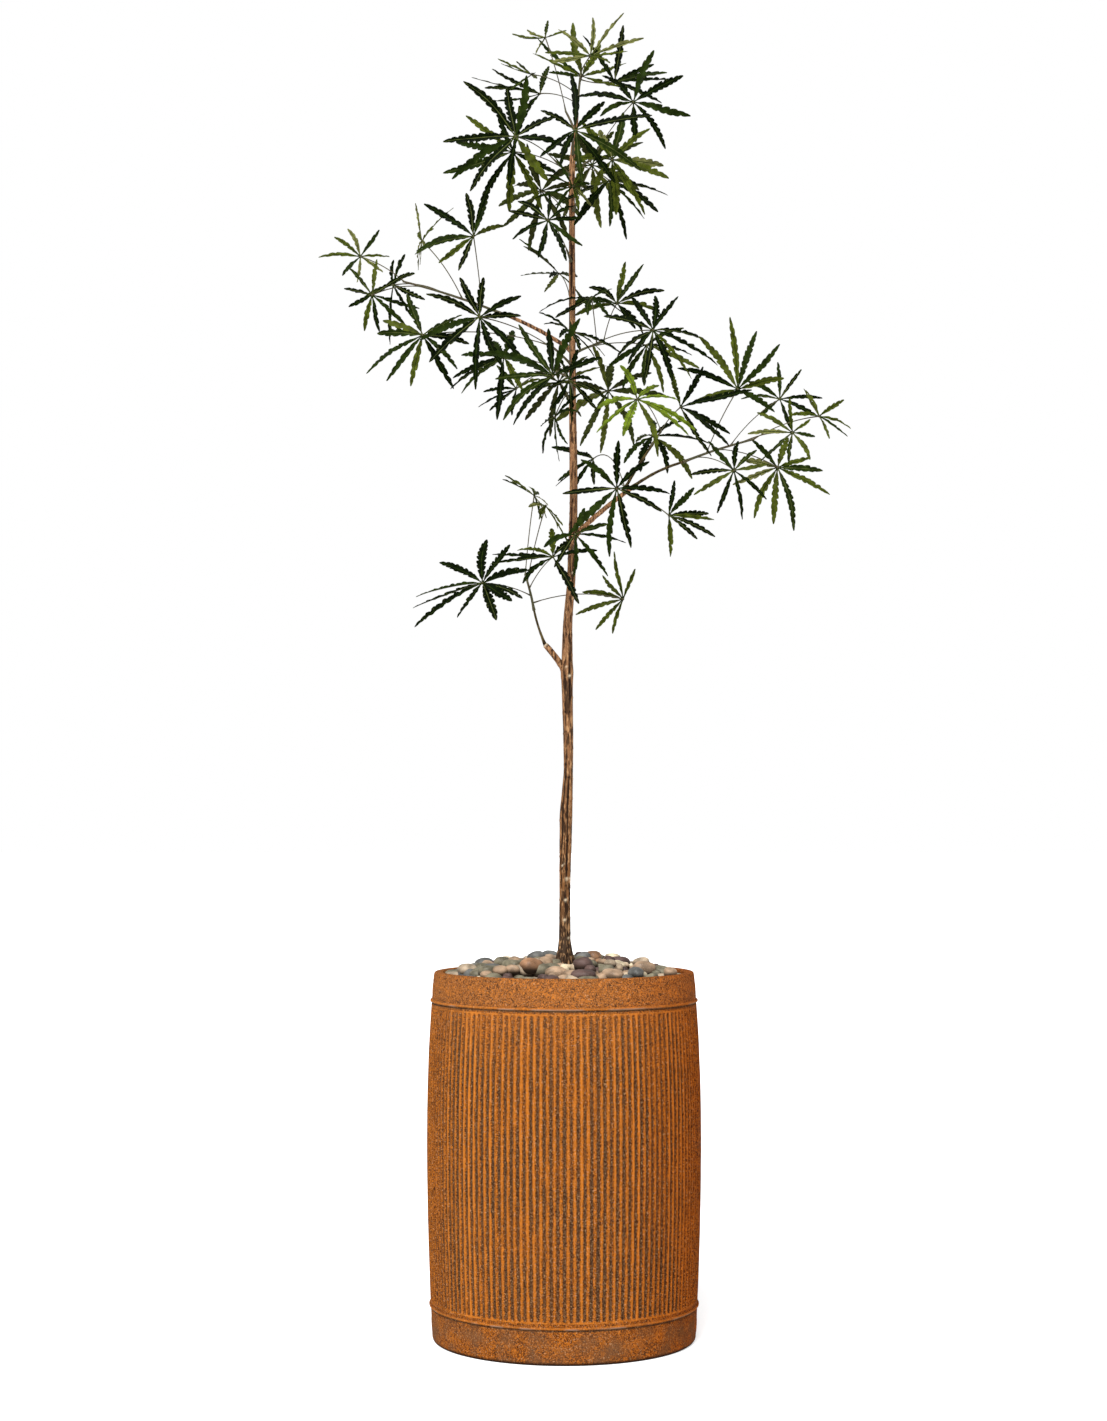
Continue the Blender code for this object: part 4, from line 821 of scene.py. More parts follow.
def planter_mesh(looks):
    """The planter's closed mesh with the relief and chip values of its corners."""
    columns = looks.flutes * COLUMNS_PER_FLUTE
    stretches = planter_rows()
    rows = np.array([row for stretch in stretches for row in stretch])
    outside = np.repeat((0.0, 1.0, 0.0), [len(stretch) for stretch in stretches])[:, None]
    turn, heights = np.meshgrid(ring(columns), rows[:, 1])
    sample = np.stack([np.cos(turn), np.sin(turn), heights / RIM_RADIUS], axis=-1)

    def at_beads(drop, width):
        gaps = [np.abs(heights - bead + drop) for bead in BEADS]
        return swell(np.minimum(*gaps), width) * outside

    flute = flute_share(turn, heights, looks) * outside
    upper = band_pattern(turn, heights, BEADS[0] + BAND_MARGIN, POT_HEIGHT - BAND_MARGIN)
    lower = band_pattern(turn, heights, FOOT_ROUNDING + 0.005, BEADS[1] - BAND_MARGIN)
    lost = np.clip(cloud(sample, 3.5, 2) * 1.4 + 0.75, 0.35, 1.0)
    scroll = (upper + lower) * outside * lost
    worn = at_beads(BEAD_RADIUS + 0.5 * WORN_LINE_WIDTH, WORN_LINE_WIDTH)
    radii = rows[:, :1] - looks.flute_depth * flute + BAND_RELIEF * scroll - WORN_LINE_DEPTH * worn
    radii = radii + CAST_UNEVENNESS * cloud(sample, 9.0, 1) * outside

    chance = np.random.default_rng(FLUTE_SEED)
    number = np.floor(turn / math.tau * looks.flutes + 0.5).astype(int) % looks.flutes
    bright = chance.uniform(*RIDGE_WEAR, looks.flutes)[number]
    dark = chance.uniform(*GROOVE_WEAR, looks.flutes)[number]
    # Painted light and shade: towards the left and right flanks the ridges are dimmed and the grooves
    # lightened, giving the flat look of flutes seen edge-on
    flank_fade = np.clip((np.abs(np.cos(turn)) - FLANK_FADE_START) / (1.0 - FLANK_FADE_START), 0.0, 1.0)
    foot, top = BEADS[1] + FLUTE_END_GAPS[1], BEADS[0] - FLUTE_END_GAPS[0]
    fluted = (heights > foot) & (heights < top)
    ridge = (1.0 - np.clip(flute * 4.0, 0.0, 1.0)) * fluted * outside * bright
    # Painted light: by height, the body is made lighter towards the top
    groove = 1.3 * flute * dark * (1.0 - 0.55 * flank_fade) * np.interp(heights, *GROOVE_FADE)
    relief = ridge * (1.0 - 0.7 * flank_fade) * np.interp(heights, *RIDGE_FADE)
    relief = relief - groove * np.clip(lost + 0.25, 0.0, 1.0)
    relief = relief + 0.45 * scroll - 0.95 * worn + 0.5 * at_beads(0.0, BEAD_RADIUS)
    chip = at_beads(CHIP_DROP, CHIP_WIDTH) * np.clip(cloud(sample, 7.0, 5) * 3.0, 0.0, 0.8)

    corners = np.stack([radii * np.cos(turn), radii * np.sin(turn), heights], axis=-1)
    middles = [(0.0, 0.0, rows[0, 1]), (0.0, 0.0, rows[-1, 1])]
    build = Build().add(corners.reshape(-1, 3).tolist() + middles, closed_faces(len(rows), columns))
    return build, {"relief": np.append(relief, (0.0, 0.0)), "chip": np.append(chip, (0.0, 0.0))}


# Soil and pebbles

def bed_height(radius):
    """Height of the pebble bed's domed top at a distance from the middle."""
    return PEBBLE_EDGE_HEIGHT + PEBBLE_DOME_RISE * (1.0 - (radius / (RIM_RADIUS - WALL)) ** 2)


def soil_build():
    """The soil: a lumpy domed top under the pebbles, and plain sides inside the planter."""
    gap = WALL + 3.0 * CLEARANCE
    reach = [(pot_radius(SOIL_TOP) - gap) * share for share in shares(SOIL_ROWS + 1)[1:]]
    rows = [(radius, bed_height(radius) - SOIL_DIP) for radius in reach]
    rows += wall_rows(SOIL_TOP, FLOOR_THICKNESS + CLEARANCE, 4, gap, 0)
    corners = []
    for number, (radius, height) in enumerate(rows):
        for turn in ring(SOIL_COLUMNS):
            place = spoke(turn) * radius + UP * height
            if number < SOIL_ROWS:
                place.z += sum(rise * noise.noise(place * scale) for rise, scale in SOIL_LUMPS)
            corners.append(place)
    corners += [(0.0, 0.0, bed_height(0.0) - SOIL_DIP), (0.0, 0.0, rows[-1][1])]
    return Build().add(corners, closed_faces(len(rows), SOIL_COLUMNS))


def pebble_places(count, lift, seed):
    """Half lengths and places of one layer's pebbles, pushed apart until they lie side by side."""
    rng = np.random.default_rng(seed)
    small, large = PEBBLE_HALF_LENGTH
    halves = small + (large - small) * rng.random(count) ** PEBBLE_SIZE_POWER
    wide = rng.uniform(*PEBBLE_WIDTH, count)
    size = halves * (1.0 + wide) * PEBBLE_ROOM
    field = RIM_RADIUS - WALL - 0.001
    reach = (field - size) * np.sqrt(rng.uniform(0.02, 1.0, count))
    turn = rng.uniform(0.0, math.tau, count)
    spots = np.stack([reach * np.cos(turn), reach * np.sin(turn)], axis=1)
    trunk_foot = trunk_at(bed_height(0.0) + lift)[1]
    others = 1.0 - np.eye(count)
    for _ in range(PEBBLE_PUSH_ROUNDS):
        between = spots[:, None, :] - spots[None, :, :]
        gap = np.linalg.norm(between, axis=2) + np.eye(count)
        overlap = np.clip(size[:, None] + size[None, :] - gap, 0.0, None) * others
        spots = spots + (between / gap[:, :, None] * overlap[:, :, None]).sum(axis=1) * PEBBLE_PUSH
        far = np.linalg.norm(spots, axis=1)
        held = np.clip(far, trunk_foot + size, field - size)
        spots = spots * (held / np.maximum(far, TINY))[:, None]
    return halves, wide, spots, rng


def ball_template():
    bm = bmesh.new()
    bmesh.ops.create_icosphere(bm, subdivisions=3, radius=1.0)
    corners = [v.co.copy() for v in bm.verts]
    faces = [tuple(v.index for v in f.verts) for f in bm.faces]
    bm.free()
    return corners, faces


def pebble_corners(ball, lengths, place, seed):
    """One worn pebble: an uneven, slightly squared ball, drawn out, tipped and set in place."""
    shift = Vector((seed * 1.7, seed * 0.9, seed * 2.3))
    found = []
    for corner in ball:
        uneven = 1.0 + 0.22 * noise.noise(corner * 0.9 + shift) + 0.05 * noise.noise(corner * 2.1 + shift)
        squared = Vector([math.copysign(abs(c) ** PEBBLE_SQUARENESS, c) for c in corner]) * uneven
        found.append(place @ (squared * Vector(lengths)))
    return found


# The tree's rule, the same as for its solids

def direction(bearing, rise):
    """The unit vector at a bearing and a rise, both in degrees."""
    turn, lift = math.radians(bearing), math.radians(rise)
    level = math.cos(lift)
    return Vector((math.cos(turn) * level, math.sin(turn) * level, math.sin(lift)))


def across(vector, axis):
    """The part of a vector that is square to an axis."""
    return vector - axis * vector.dot(axis)


def arc_point(start, heading, toward, bend, length, share):
    """A point on a circular arc that leaves start along heading and bends towards toward."""
    if abs(bend) < TINY:
        return start + heading * (length * share)
    radius = length / bend
    turned = bend * share
    return start + heading * (radius * math.sin(turned)) + toward * (radius * (1.0 - math.cos(turned)))


def trunk_at(height):
    """Centre and radius of the trunk at a height; its lean is a smooth curve through the stations."""
    last = len(TRUNK) - 1
    height = min(max(height, TRUNK[0].height), TRUNK[last].height)
    step = max(i for i in range(last) if TRUNK[i].height <= height)
    low, high = TRUNK[step], TRUNK[step + 1]
    before, after = TRUNK[max(step - 1, 0)].lean, TRUNK[min(step + 2, last)].lean
    share = (height - low.height) / (high.height - low.height)
    lean = 0.5 * (
        2.0 * low.lean
        + (high.lean - before) * share
        + (2.0 * before - 5.0 * low.lean + 4.0 * high.lean - after) * share**2
        + (3.0 * low.lean - before - 3.0 * high.lean + after) * share**3
    )
    return Vector((lean, 0.0, height)), low.radius + (high.radius - low.radius) * share


def bough_radius(bough, share):
    return bough.radius + (bough.tip_radius - bough.radius) * share


def host_at(host, at):
    """Centre, radius and heading of the trunk or of a bough at a place along it."""
    if host == "trunk":
        centre, radius = trunk_at(at)
        above = trunk_at(at + TRUNK_LOOK_AHEAD)[0]
        return centre, radius, (above - centre).normalized() if above != centre else UP
    bough = next(b for b in BOUGHS if b.name == host)
    ahead = bough_point(bough, at)
    return ahead, bough_radius(bough, at), (ahead - bough_point(bough, at - BOUGH_LOOK_BACK)).normalized()


def rooting(limb):
    """Where a bough or a stem starts: clear of its host's side, or beyond its host's tip."""
    centre, host_radius, heading = host_at(limb.host, limb.at)
    if limb.at >= (TRUNK[-1].height if limb.host == "trunk" else 1.0):
        return centre + heading * CLEARANCE
    outward = across(direction(limb.bearing, limb.rise), heading).normalized()
    return centre + outward * (host_radius + CLEARANCE)


def limb_point(limb, start, bend, share):
    heading, toward = direction(limb.bearing, limb.rise), direction(limb.bearing, limb.rise + 90.0)
    return arc_point(start, heading, toward, math.radians(bend), limb.length, share)


def bough_point(bough, share):
    """A bough on the trunk starts inside it; any other meets its host."""
    start = trunk_at(bough.at)[0] if bough.host == "trunk" else rooting(bough)
    return limb_point(bough, start, bough.tip_rise - bough.rise, share)


def stem_point(mass, share):
    return limb_point(mass, rooting(mass), STEM_BEND, share)


class Occupied:
    """Every limb and leaflet placed so far, as thick line pieces, to keep the masses apart."""

    def __init__(self):
        self.pieces = []

    def add(self, owner, points, radius):
        self.pieces += [(owner, tuple(a), tuple(b), radius) for a, b in zip(points, points[1:])]

    def is_free(self, owner, points, radius):
        """Whether a line of points stays clear of everything that other owners placed."""
        others = [piece[1:] for piece in self.pieces if piece[0] != owner]
        starts, ends, radii = (np.array(column) for column in zip(*others))
        for first, second in zip(points, points[1:]):
            gaps = piece_gaps(np.array(first), np.array(second), starts, ends)
            if (gaps < radii + radius + TWIG_GAP).any():
                return False
        return True


def piece_gaps(first, second, starts, ends):
    """Shortest distances from one line piece to many others."""
    along = second - first
    others = ends - starts
    between = first - starts
    along_squared = along @ along
    others_squared = np.einsum("ij,ij->i", others, others)
    shared = others @ along
    from_along = between @ along
    from_others = np.einsum("ij,ij->i", others, between)
    spread = along_squared * others_squared - shared * shared
    crossing = spread > TINY * TINY
    safe = np.where(crossing, spread, 1.0)
    share = np.where(crossing, (shared * from_others - from_along * others_squared) / safe, 0.0)
    share = np.clip(share, 0.0, 1.0)
    other_share = np.clip((shared * share + from_others) / others_squared, 0.0, 1.0)
    share = np.clip((shared * other_share - from_along) / along_squared, 0.0, 1.0)
    nearest = between + share[:, None] * along - other_share[:, None] * others
    return np.sqrt(np.einsum("ij,ij->i", nearest, nearest))


def stalk_path(mass, index, steps, bow):
    """A leaf stalk, bowed a little upwards, from its even step on the stem to its leaf's hub."""
    leaf = mass.leaves[index]
    foot = stem_point(mass, min((index + 1.0) / len(mass.leaves), LAST_STALK_SHARE))
    chord = direction(leaf.bearing, leaf.lift)
    lift = across(UP, chord) * (4.0 * bow * leaf.reach)
    return [foot + chord * (leaf.reach * s) + lift * (s * (1.0 - s)) for s in shares(steps)]


def leaflets_of(mass, leaf, rng):
    """A leaf's blade normal, and the heading, length and bend of each leaflet round its hub."""
    tilt, lead = math.radians(leaf.tilt), math.radians(leaf.lead)
    normal = UP * math.cos(tilt) + direction(leaf.facing, 0.0) * math.sin(tilt)
    top = across(UP, normal).normalized()
    toward = top * math.cos(lead) + top.cross(normal) * math.sin(lead)
    beside = normal.cross(toward)
    found = []
    for i in range(leaf.count):
        turn = math.radians(leaf.sweep) * ((i + 0.5) / leaf.count - 0.5)
        unlike = 1.0 + rng.uniform(-LEAFLET_LENGTH_SPREAD, LEAFLET_LENGTH_SPREAD)
        length = leaf.span * (1.0 - UNEVENNESS * (1.0 - math.cos(turn))) * unlike
        wander = turn + rng.uniform(-LEAFLET_TURN_SPREAD, LEAFLET_TURN_SPREAD)
        pitch = rng.uniform(-LEAFLET_PITCH_SPREAD, LEAFLET_PITCH_SPREAD)
        level = toward * math.cos(wander) + beside * math.sin(wander)
        heading = level * math.cos(pitch) + normal * math.sin(pitch)
        droop = mass.droop * (1.0 + rng.uniform(-DROOP_SPREAD, DROOP_SPREAD))
        curl = mass.curl * (1.0 + rng.uniform(-DROOP_SPREAD, DROOP_SPREAD))
        found.append((heading, length, across(-UP, heading) * droop - across(normal, heading) * curl))
    return normal, found


def leaflet_line(hub, heading, length, pull):
    """A few points along a leaflet."""
    start, bend = hub + heading * HUB_RADIUS, pull.length
    toward = pull / bend if bend > TINY else pull
    return [arc_point(start, heading, toward, bend, length - HUB_RADIUS, s) for s in TRIAL_SHARES]


def fitting_leaflet(occupied, owner, hub, leaflet, half):
    """The first of a few trial shapes that stays clear of the other masses and limbs, or None."""
    heading, length, pull = leaflet
    for shorter, more in LEAFLET_TRIALS:
        line = leaflet_line(hub, heading, length * shorter, pull * more)
        if occupied.is_free(owner, line, half):
            return heading, length * shorter, pull * more, line
    return None


def free_bow(mass, index, occupied):
    """The least bow that keeps a leaf's stalk clear of the other masses and limbs, or None."""
    for bow in STALK_BOWS:
        trial = stalk_path(mass, index, STALK_STEPS, bow)
        if occupied.is_free(mass.name, trial[1:] if index == 0 else trial, STALK_RADIUS):
            return bow
    return None


def grow_mass(mass, number, occupied):
    """Plan a mass's leaves: each one's number, bow, hub, normal, width and leaflets that fit."""
    rng = random.Random(FOLIAGE_SEED + number)
    leaves = []
    for index, leaf in enumerate(mass.leaves):
        bow = free_bow(mass, index, occupied)
        normal, found = leaflets_of(mass, leaf, rng)
        if bow is not None:
            hub = stalk_path(mass, index, 1, bow)[1]
            width = leaf.span * LEAFLET_WIDTH_SHARE
            fitted = [fitting_leaflet(occupied, mass.name, hub, leaflet, width * 0.5) for leaflet in found]
            leaves.append((index, bow, hub, normal, width, [f for f in fitted if f]))
    for index, bow, _, _, width, placed in leaves:
        occupied.add(mass.name, stalk_path(mass, index, STALK_STEPS, bow), STALK_RADIUS)
        for fitted in placed:
            occupied.add(mass.name, fitted[-1], width * 0.5)
    occupied.add(mass.name, [stem_point(mass, share) for share in shares(STEM_STEPS)], STEM_RADII[0])
    return leaves


def grow_tree():
    """Every mass's planned leaves, in the same order as for the solids."""
    occupied = Occupied()
    for low, high in zip(TRUNK, TRUNK[1:]):
        rise = high.height - low.height
        steps = max(1, round(rise / TRUNK_RING_STEP))
        for first, second in zip(shares(steps), shares(steps)[1:]):
            start, radius = trunk_at(low.height + rise * first)
            occupied.add("trunk", (start, trunk_at(low.height + rise * second)[0]), radius)
    for bough in BOUGHS:
        occupied.add(bough.name, [bough_point(bough, share) for share in (0.0, 0.5, 1.0)], bough.radius)
    return [grow_mass(mass, number, occupied) for number, mass in enumerate(MASSES)]


# Bark

def bark_scars():
    """Height, bearing and size of the pale scars: four at the front, the rest strewn."""
    rng = random.Random(SCAR_SEED)
    front = zip(FRONT_SCAR_HEIGHTS, FRONT_SCAR_BEARINGS)
    scars = [(height, bearing, FRONT_SCAR_SIZE) for height, bearing in front]
    for _ in range(SCAR_COUNT):
        scars.append((rng.uniform(*SCAR_HEIGHTS), rng.uniform(0.0, 360.0), rng.uniform(*SCAR_SIZES)))
    return scars


def leaf_rings():
    """Height and strongest side of the faint rings that old leaves left round the trunk."""
    rng = random.Random(LEAF_RING_SEED)
    rings = []
    height = LEAF_RINGS_FROM
    while height < TRUNK[-1].height - 0.02:
        rings.append((height, rng.uniform(0.0, 360.0)))
        height += rng.uniform(*LEAF_RING_SPACING)
    return rings


def fall_off(gap, width):
    """A soft hump: 1 at no gap, and falling away within about two widths."""
    return math.exp(-((gap / width) ** 2))


def bark_relief(turn, height, scars, rings, coarse):
    """Height of the bark over the plain surface, its relief value and its scar value."""
    circle, degrees = spoke(turn), math.degrees(turn)
    found = []
    bulge = 0.0
    for round_pace, up_pace, shift, rise in BARK_LAYERS:
        value = noise.noise(circle * round_pace + UP * (height * up_pace) + Vector(shift))
        found.append(value)
        bulge += coarse * rise * value
    plates, _, streak = found
    value = max(-1.0, min(1.0, 1.6 * streak + 0.5 * plates))
    for at, bearing in rings:
        if abs(height - at) < LEAF_RING_REACH:
            facing = 0.5 + 0.5 * math.cos(math.radians(degrees - bearing))
            bulge += coarse * LEAF_RING_RISE * facing * fall_off(height - at, LEAF_RING_WIDTH)
            value -= 0.5 * facing * fall_off(height - at - LEAF_RING_LINE[0], LEAF_RING_LINE[1])
    scar = 0.0
    for at, bearing, size in scars:
        if abs(height - at) <= 3.0 * size:
            sideways = math.radians((degrees - bearing + 180.0) % 360.0 - 180.0) * SCARRED_RADIUS
            gap = math.hypot(sideways, (height - at) * 1.15) / size
            if gap < 2.2:
                bulge += SCAR_RIM * fall_off(gap, 1.0) - SCAR_HOLLOW * fall_off(gap * 2.6, 1.0)
                scar = max(scar, math.exp(-gap * gap * 1.1))
    return bulge, value, scar


def trunk_build():
    """The trunk's closed mesh with root lobes, bark plates, leaf rings, scars and a tip."""
    scars, rings = bark_scars(), leaf_rings()
    bottom, top = TRUNK[0].height, TRUNK[-1].height
    count = round((top - bottom) / BARK_STEP)
    corners, relief, scar = [], [], []
    for share in shares(count):
        height = bottom + (top - bottom) * share
        centre, radius = trunk_at(height)
        flare = max(0.0, 1.0 - (height - bottom) / ROOT_LOBE_HEIGHT)
        knuckle = KNUCKLE_SHARE * fall_off(height - KNUCKLE_HEIGHT, KNUCKLE_WIDTH)
        for turn in ring(BARK_SIDES):
            lobes = 1.0 + ROOT_LOBE_DEPTH * flare * math.cos(ROOT_LOBES * turn + ROOT_LOBE_TURN)
            bulge, value, scar_value = bark_relief(turn, height, scars, rings, 1.0 + 0.6 * flare)
            reach = radius * (lobes + knuckle) + bulge * min(1.0, radius / 0.007)
            corners.append(centre + spoke(turn) * reach)
            relief.append(value)
            scar.append(scar_value)
    corners += [trunk_at(bottom)[0], trunk_at(top)[0] + UP * 0.002]
    build = Build().add(corners, closed_faces(count + 1, BARK_SIDES))
    return build, {"relief": relief + [0.0, 0.0], "scar": scar + [0.0, 0.0]}


def add_tube(build, points, radii, sides, uneven=0.0):
    """Add a closed round tube along points, each end closed by a low cap."""
    side = (points[1] - points[0]).orthogonal().normalized()
    corners = []
    for i, (centre, radius) in enumerate(zip(points, radii)):
        axis = (points[min(i + 1, len(points) - 1)] - points[max(i - 1, 0)]).normalized()
        side = across(side, axis).normalized()
        other = axis.cross(side)
        for turn in ring(sides):
            lump = noise.noise(spoke(turn) * 1.4 + UP * (i * 0.35)) if uneven else 0.0
            reach = radius * (1.0 + uneven * lump)
            corners.append(centre + side * (reach * math.cos(turn)) + other * (reach * math.sin(turn)))
    corners.append(points[0] + (points[0] - points[1]).normalized() * (radii[0] * 0.4))
    corners.append(points[-1] + (points[-1] - points[-2]).normalized() * (radii[-1] * 0.5))
    return build.add(corners, closed_faces(len(points), sides))


def bough_build(bough):
    """A bough's mesh: a collar where it leaves its host, small nodes along it and a rounded end."""
    steps = max(8, round(bough.length / BOUGH_STEP))
    radii = []
    for share in shares(steps):
        gone = share * bough.length
        collar = 1.0 + BOUGH_COLLAR[0] * fall_off(gone, BOUGH_COLLAR[1])
        nodes = 1.0 + BOUGH_NODE_RISE * max(0.0, math.cos(gone / BOUGH_NODE_SPACING * math.tau)) ** 6
        radii.append(bough_radius(bough, share) * collar * nodes)
    path = [bough_point(bough, share) for share in shares(steps)]
    build = add_tube(Build(), path, radii, BOUGH_SIDES, BOUGH_UNEVENNESS)
    relief = [0.35 * noise.noise(c * 260.0) for c in build.corners]
    scar = [0.0] * len(relief)
    if bough.name == CUT_BOUGH:
        scar[steps * BOUGH_SIDES:] = [0.75] * (BOUGH_SIDES + 2)
    return build, {"relief": relief, "scar": scar}


# Leaves

def leaflet_profile(length, pitch, rng):
    """Shares along a leaflet, the half widths of its two sides as shares of the full one, its teeth."""
    pitch = pitch * rng.uniform(*TOOTH_PITCH_SPREAD)
    teeth = max(4, round(length * (1.0 - PETIOLULE_SHARE) / pitch))
    blade = np.array([(k + step) / teeth for k in range(teeth) for step in TOOTH_STEPS])
    rise, fall = WIDEST_POWERS
    peak = rise / (rise + fall)
    envelope = (blade / peak) ** rise * ((1.0 - blade) / (1.0 - peak)) ** fall
    fade = np.clip(np.sin(np.pi * blade) * 1.9, 0.0, 1.0)
    halves = []
    for offset in TOOTH_OFFSETS:
        depths = np.array([TOOTH_DEPTH * rng.uniform(*TOOTH_DEPTH_SPREAD) for _ in range(teeth + 1)])
        place = blade * teeth + offset
        tooth = np.interp(place % 1.0, *TOOTH_RISE)
        half = envelope * (1.0 - depths[np.floor(place).astype(int)] * fade * (1.0 - tooth))
        halves.append(np.concatenate(((0.0, 0.0), half)))
    along = PETIOLULE_SHARE + (1.0 - PETIOLULE_SHARE) * blade
    return np.concatenate(((0.0, PETIOLULE_SHARE * 0.55), along)), halves, teeth


def add_fine_leaflet(build, hub, normal, leaflet, width, pitch, rng, kinds):
    """A toothed leaflet, thin and closed: gutter-shaped, with a rib and a wavy edge."""
    heading, length, pull, _ = leaflet
    along, halves, teeth = leaflet_profile(length, pitch, rng)
    half = width * 0.5 * rng.uniform(*LEAFLET_FULLNESS)
    twist = rng.uniform(-TWIST, TWIST)
    sway = length * rng.uniform(-SWAY, SWAY)
    sabre = length * rng.uniform(-SABRE, SABRE)
    wave = rng.uniform(*EDGE_WAVE)
    phase = rng.uniform(0.0, math.tau)
    fold = FOLD * rng.uniform(*FOLD_SPREAD)

    start, reach, bend = np.array(hub + heading * HUB_RADIUS), length - HUB_RADIUS, pull.length
    ahead, toward = np.array(heading), np.array(pull / bend if bend > TINY else pull)
    share = along[:, None]
    turned = bend * share
    forward, sideways = reach * share, 0.0 * share
    if bend > TINY:
        forward, sideways = reach / bend * np.sin(turned), reach / bend * (1.0 - np.cos(turned))
    side = np.cross(np.array(normal), ahead)
    side = side / np.linalg.norm(side)
    slip = sway * np.sin(share * math.pi * 1.4) * share + sabre * share * share
    centre = start + forward * ahead + sideways * toward + slip * side
    tangent = np.cos(turned) * ahead + np.sin(turned) * toward
    flat = side - tangent * (tangent @ side)[:, None]
    flat = flat / np.linalg.norm(flat, axis=1, keepdims=True)
    wide = flat * np.cos(twist * share) + np.cross(tangent, flat) * np.sin(twist * share)
    face = np.cross(tangent, wide)

    widths = [np.maximum(half * shape[:, None], PETIOLULE_HALF_WIDTH) for shape in halves]
    rib = wide * np.minimum(RIB_HALF_WIDTH * (1.0 - 0.7 * share), np.minimum(*widths) * 0.5)
    keel = face * LEAFLET_DEPTH * (0.55 + 0.45 * (1.0 - share))
    edges = []
    for shape, reached, sign, pace in zip(halves, widths, (1.0, -1.0), EDGE_WAVE_PACES):
        shape = shape[:, None]
        crest = shape / shape.max() * TOOTH_LEAN * reach / teeth * (share > PETIOLULE_SHARE)
        ripple = wave * np.sin(share * teeth * pace + sign * phase) * shape
        edges.append(centre + sign * wide * reached + face * (fold * reached + ripple) + tangent * crest)
    left, right = centre + rib, centre - rib
    rows = np.stack([edges[0], left, right, edges[1], right - keel, left - keel], axis=1)
    first_row = rows[:1] - start + np.array(hub + heading * PETIOLULE_START)
    corners = np.concatenate([first_row, rows]).reshape(-1, 3).tolist()
    corners.append(tuple(centre[-1] + tangent[-1] * (reach * (1.0 - along[-1]))))

    top, under, rib_kind = kinds
    around = [top, rib_kind, top, under, under, under]
    pairs = [(k, (k + 1) % 6) for k in range(6)]
    end = 6 * len(along)
    faces = []
    for row in range(0, end, 6):
        faces += [(row + k, row + j, row + 6 + j, row + 6 + k) for k, j in pairs]
    faces += [(end + k, end + j, end + 6) for k, j in pairs]
    faces.append((5, 4, 3, 2, 1, 0))
    build.add(corners, faces, [rib_kind] * 12 + around * (len(along) - 1) + [rib_kind])


def add_knot(build, centre, radius):
    """A small uneven knob."""
    points = [centre + UP * (radius * height) for height, _ in KNOT_RINGS]
    add_tube(build, points, [radius * share for _, share in KNOT_RINGS], 7, 0.2)


# Operators

class ARALIA_OT_planter(Operator):
    """Build the fluted planter with its lip, bands and beads"""

    bl_idname = "aralia.planter"
    bl_label = "Planter"

    def execute(self, context):
        looks = context.scene.aralia_planter
        build, values = planter_mesh(looks)
        materials = [rust_material(looks)]
        finish_piece("planter_fluted", build, materials, ("planter",), 55, values)
        return {"FINISHED"}


class ARALIA_OT_pebbles(Operator):
    """Build the soil and the river pebbles on it, each colour of stone as one piece"""

    bl_idname = "aralia.pebbles"
    bl_label = "Soil and Pebbles"

    def execute(self, context):
        looks = context.scene.aralia_pebbles
        materials = [soil_material(looks.soil)]
        finish_piece("potting_soil", soil_build(), materials, ("soil",), 50)
        ball, faces = ball_template()
        builds = {kind: Build() for kind in PEBBLE_KINDS}
        under = {kind: [] for kind in PEBBLE_KINDS}
        odds = np.array(PEBBLE_SHARES) / sum(PEBBLE_SHARES)
        for count, lift, seed in PEBBLE_LAYERS:
            halves, wide, spots, rng = pebble_places(count, lift, seed)
            for i, (x, y) in enumerate(spots):
                height = bed_height(math.hypot(x, y)) + lift + rng.uniform(*PEBBLE_LIFT_SPREAD)
                lengths = (halves[i], halves[i] * wide[i], halves[i] * rng.uniform(*PEBBLE_DEPTH))
                place = Matrix.Translation((x, y, height))
                place = place @ Matrix.Rotation(rng.uniform(0.0, math.pi), 4, "Z")
                place = place @ Matrix.Rotation(rng.uniform(-PEBBLE_TIP, PEBBLE_TIP), 4, "X")
                kind = rng.choice(PEBBLE_KINDS, p=odds)
                if lift > TOP_LAYER_LIFT and y < 0.0 and abs(x) < FOOT_IN_VIEW:
                    continue
                corners = pebble_corners(ball, lengths, place, seed * 1000 + i)
                builds[kind].add(corners, faces)
                # How far below its middle each corner lies, for the painted shade under each pebble
                under[kind] += [(height - corner.z) / lengths[2] for corner in corners]
        for kind, build in builds.items():
            materials = [pebble_material(kind, getattr(looks, kind), looks.soil)]
            values = {"under": under[kind]}
            finish_piece("pebbles_" + kind, build, materials, ("pebbles",), None, values)
        return {"FINISHED"}


class ARALIA_OT_wood(Operator):
    """Build the trunk and boughs with their bark"""

    bl_idname = "aralia.wood"
    bl_label = "Trunk and Boughs"

    def execute(self, context):
        looks = context.scene.aralia_bark
        bark = bark_material("bark", looks, looks.low, looks.high, looks.fleck)
        shoot = bark_material("shoot bark", looks, looks.shoot, looks.shoot, dimmed(looks.shoot, 2.4))
        build, values = trunk_build()
        finish_piece("trunk_bark", build, [bark], ("trunk",), None, values)
        for bough in BOUGHS:
            build, values = bough_build(bough)
            material = bark if bough.host == "trunk" else shoot
            finish_piece(bough.name + "_bark", build, [material], (bough.name,), None, values)
        return {"FINISHED"}


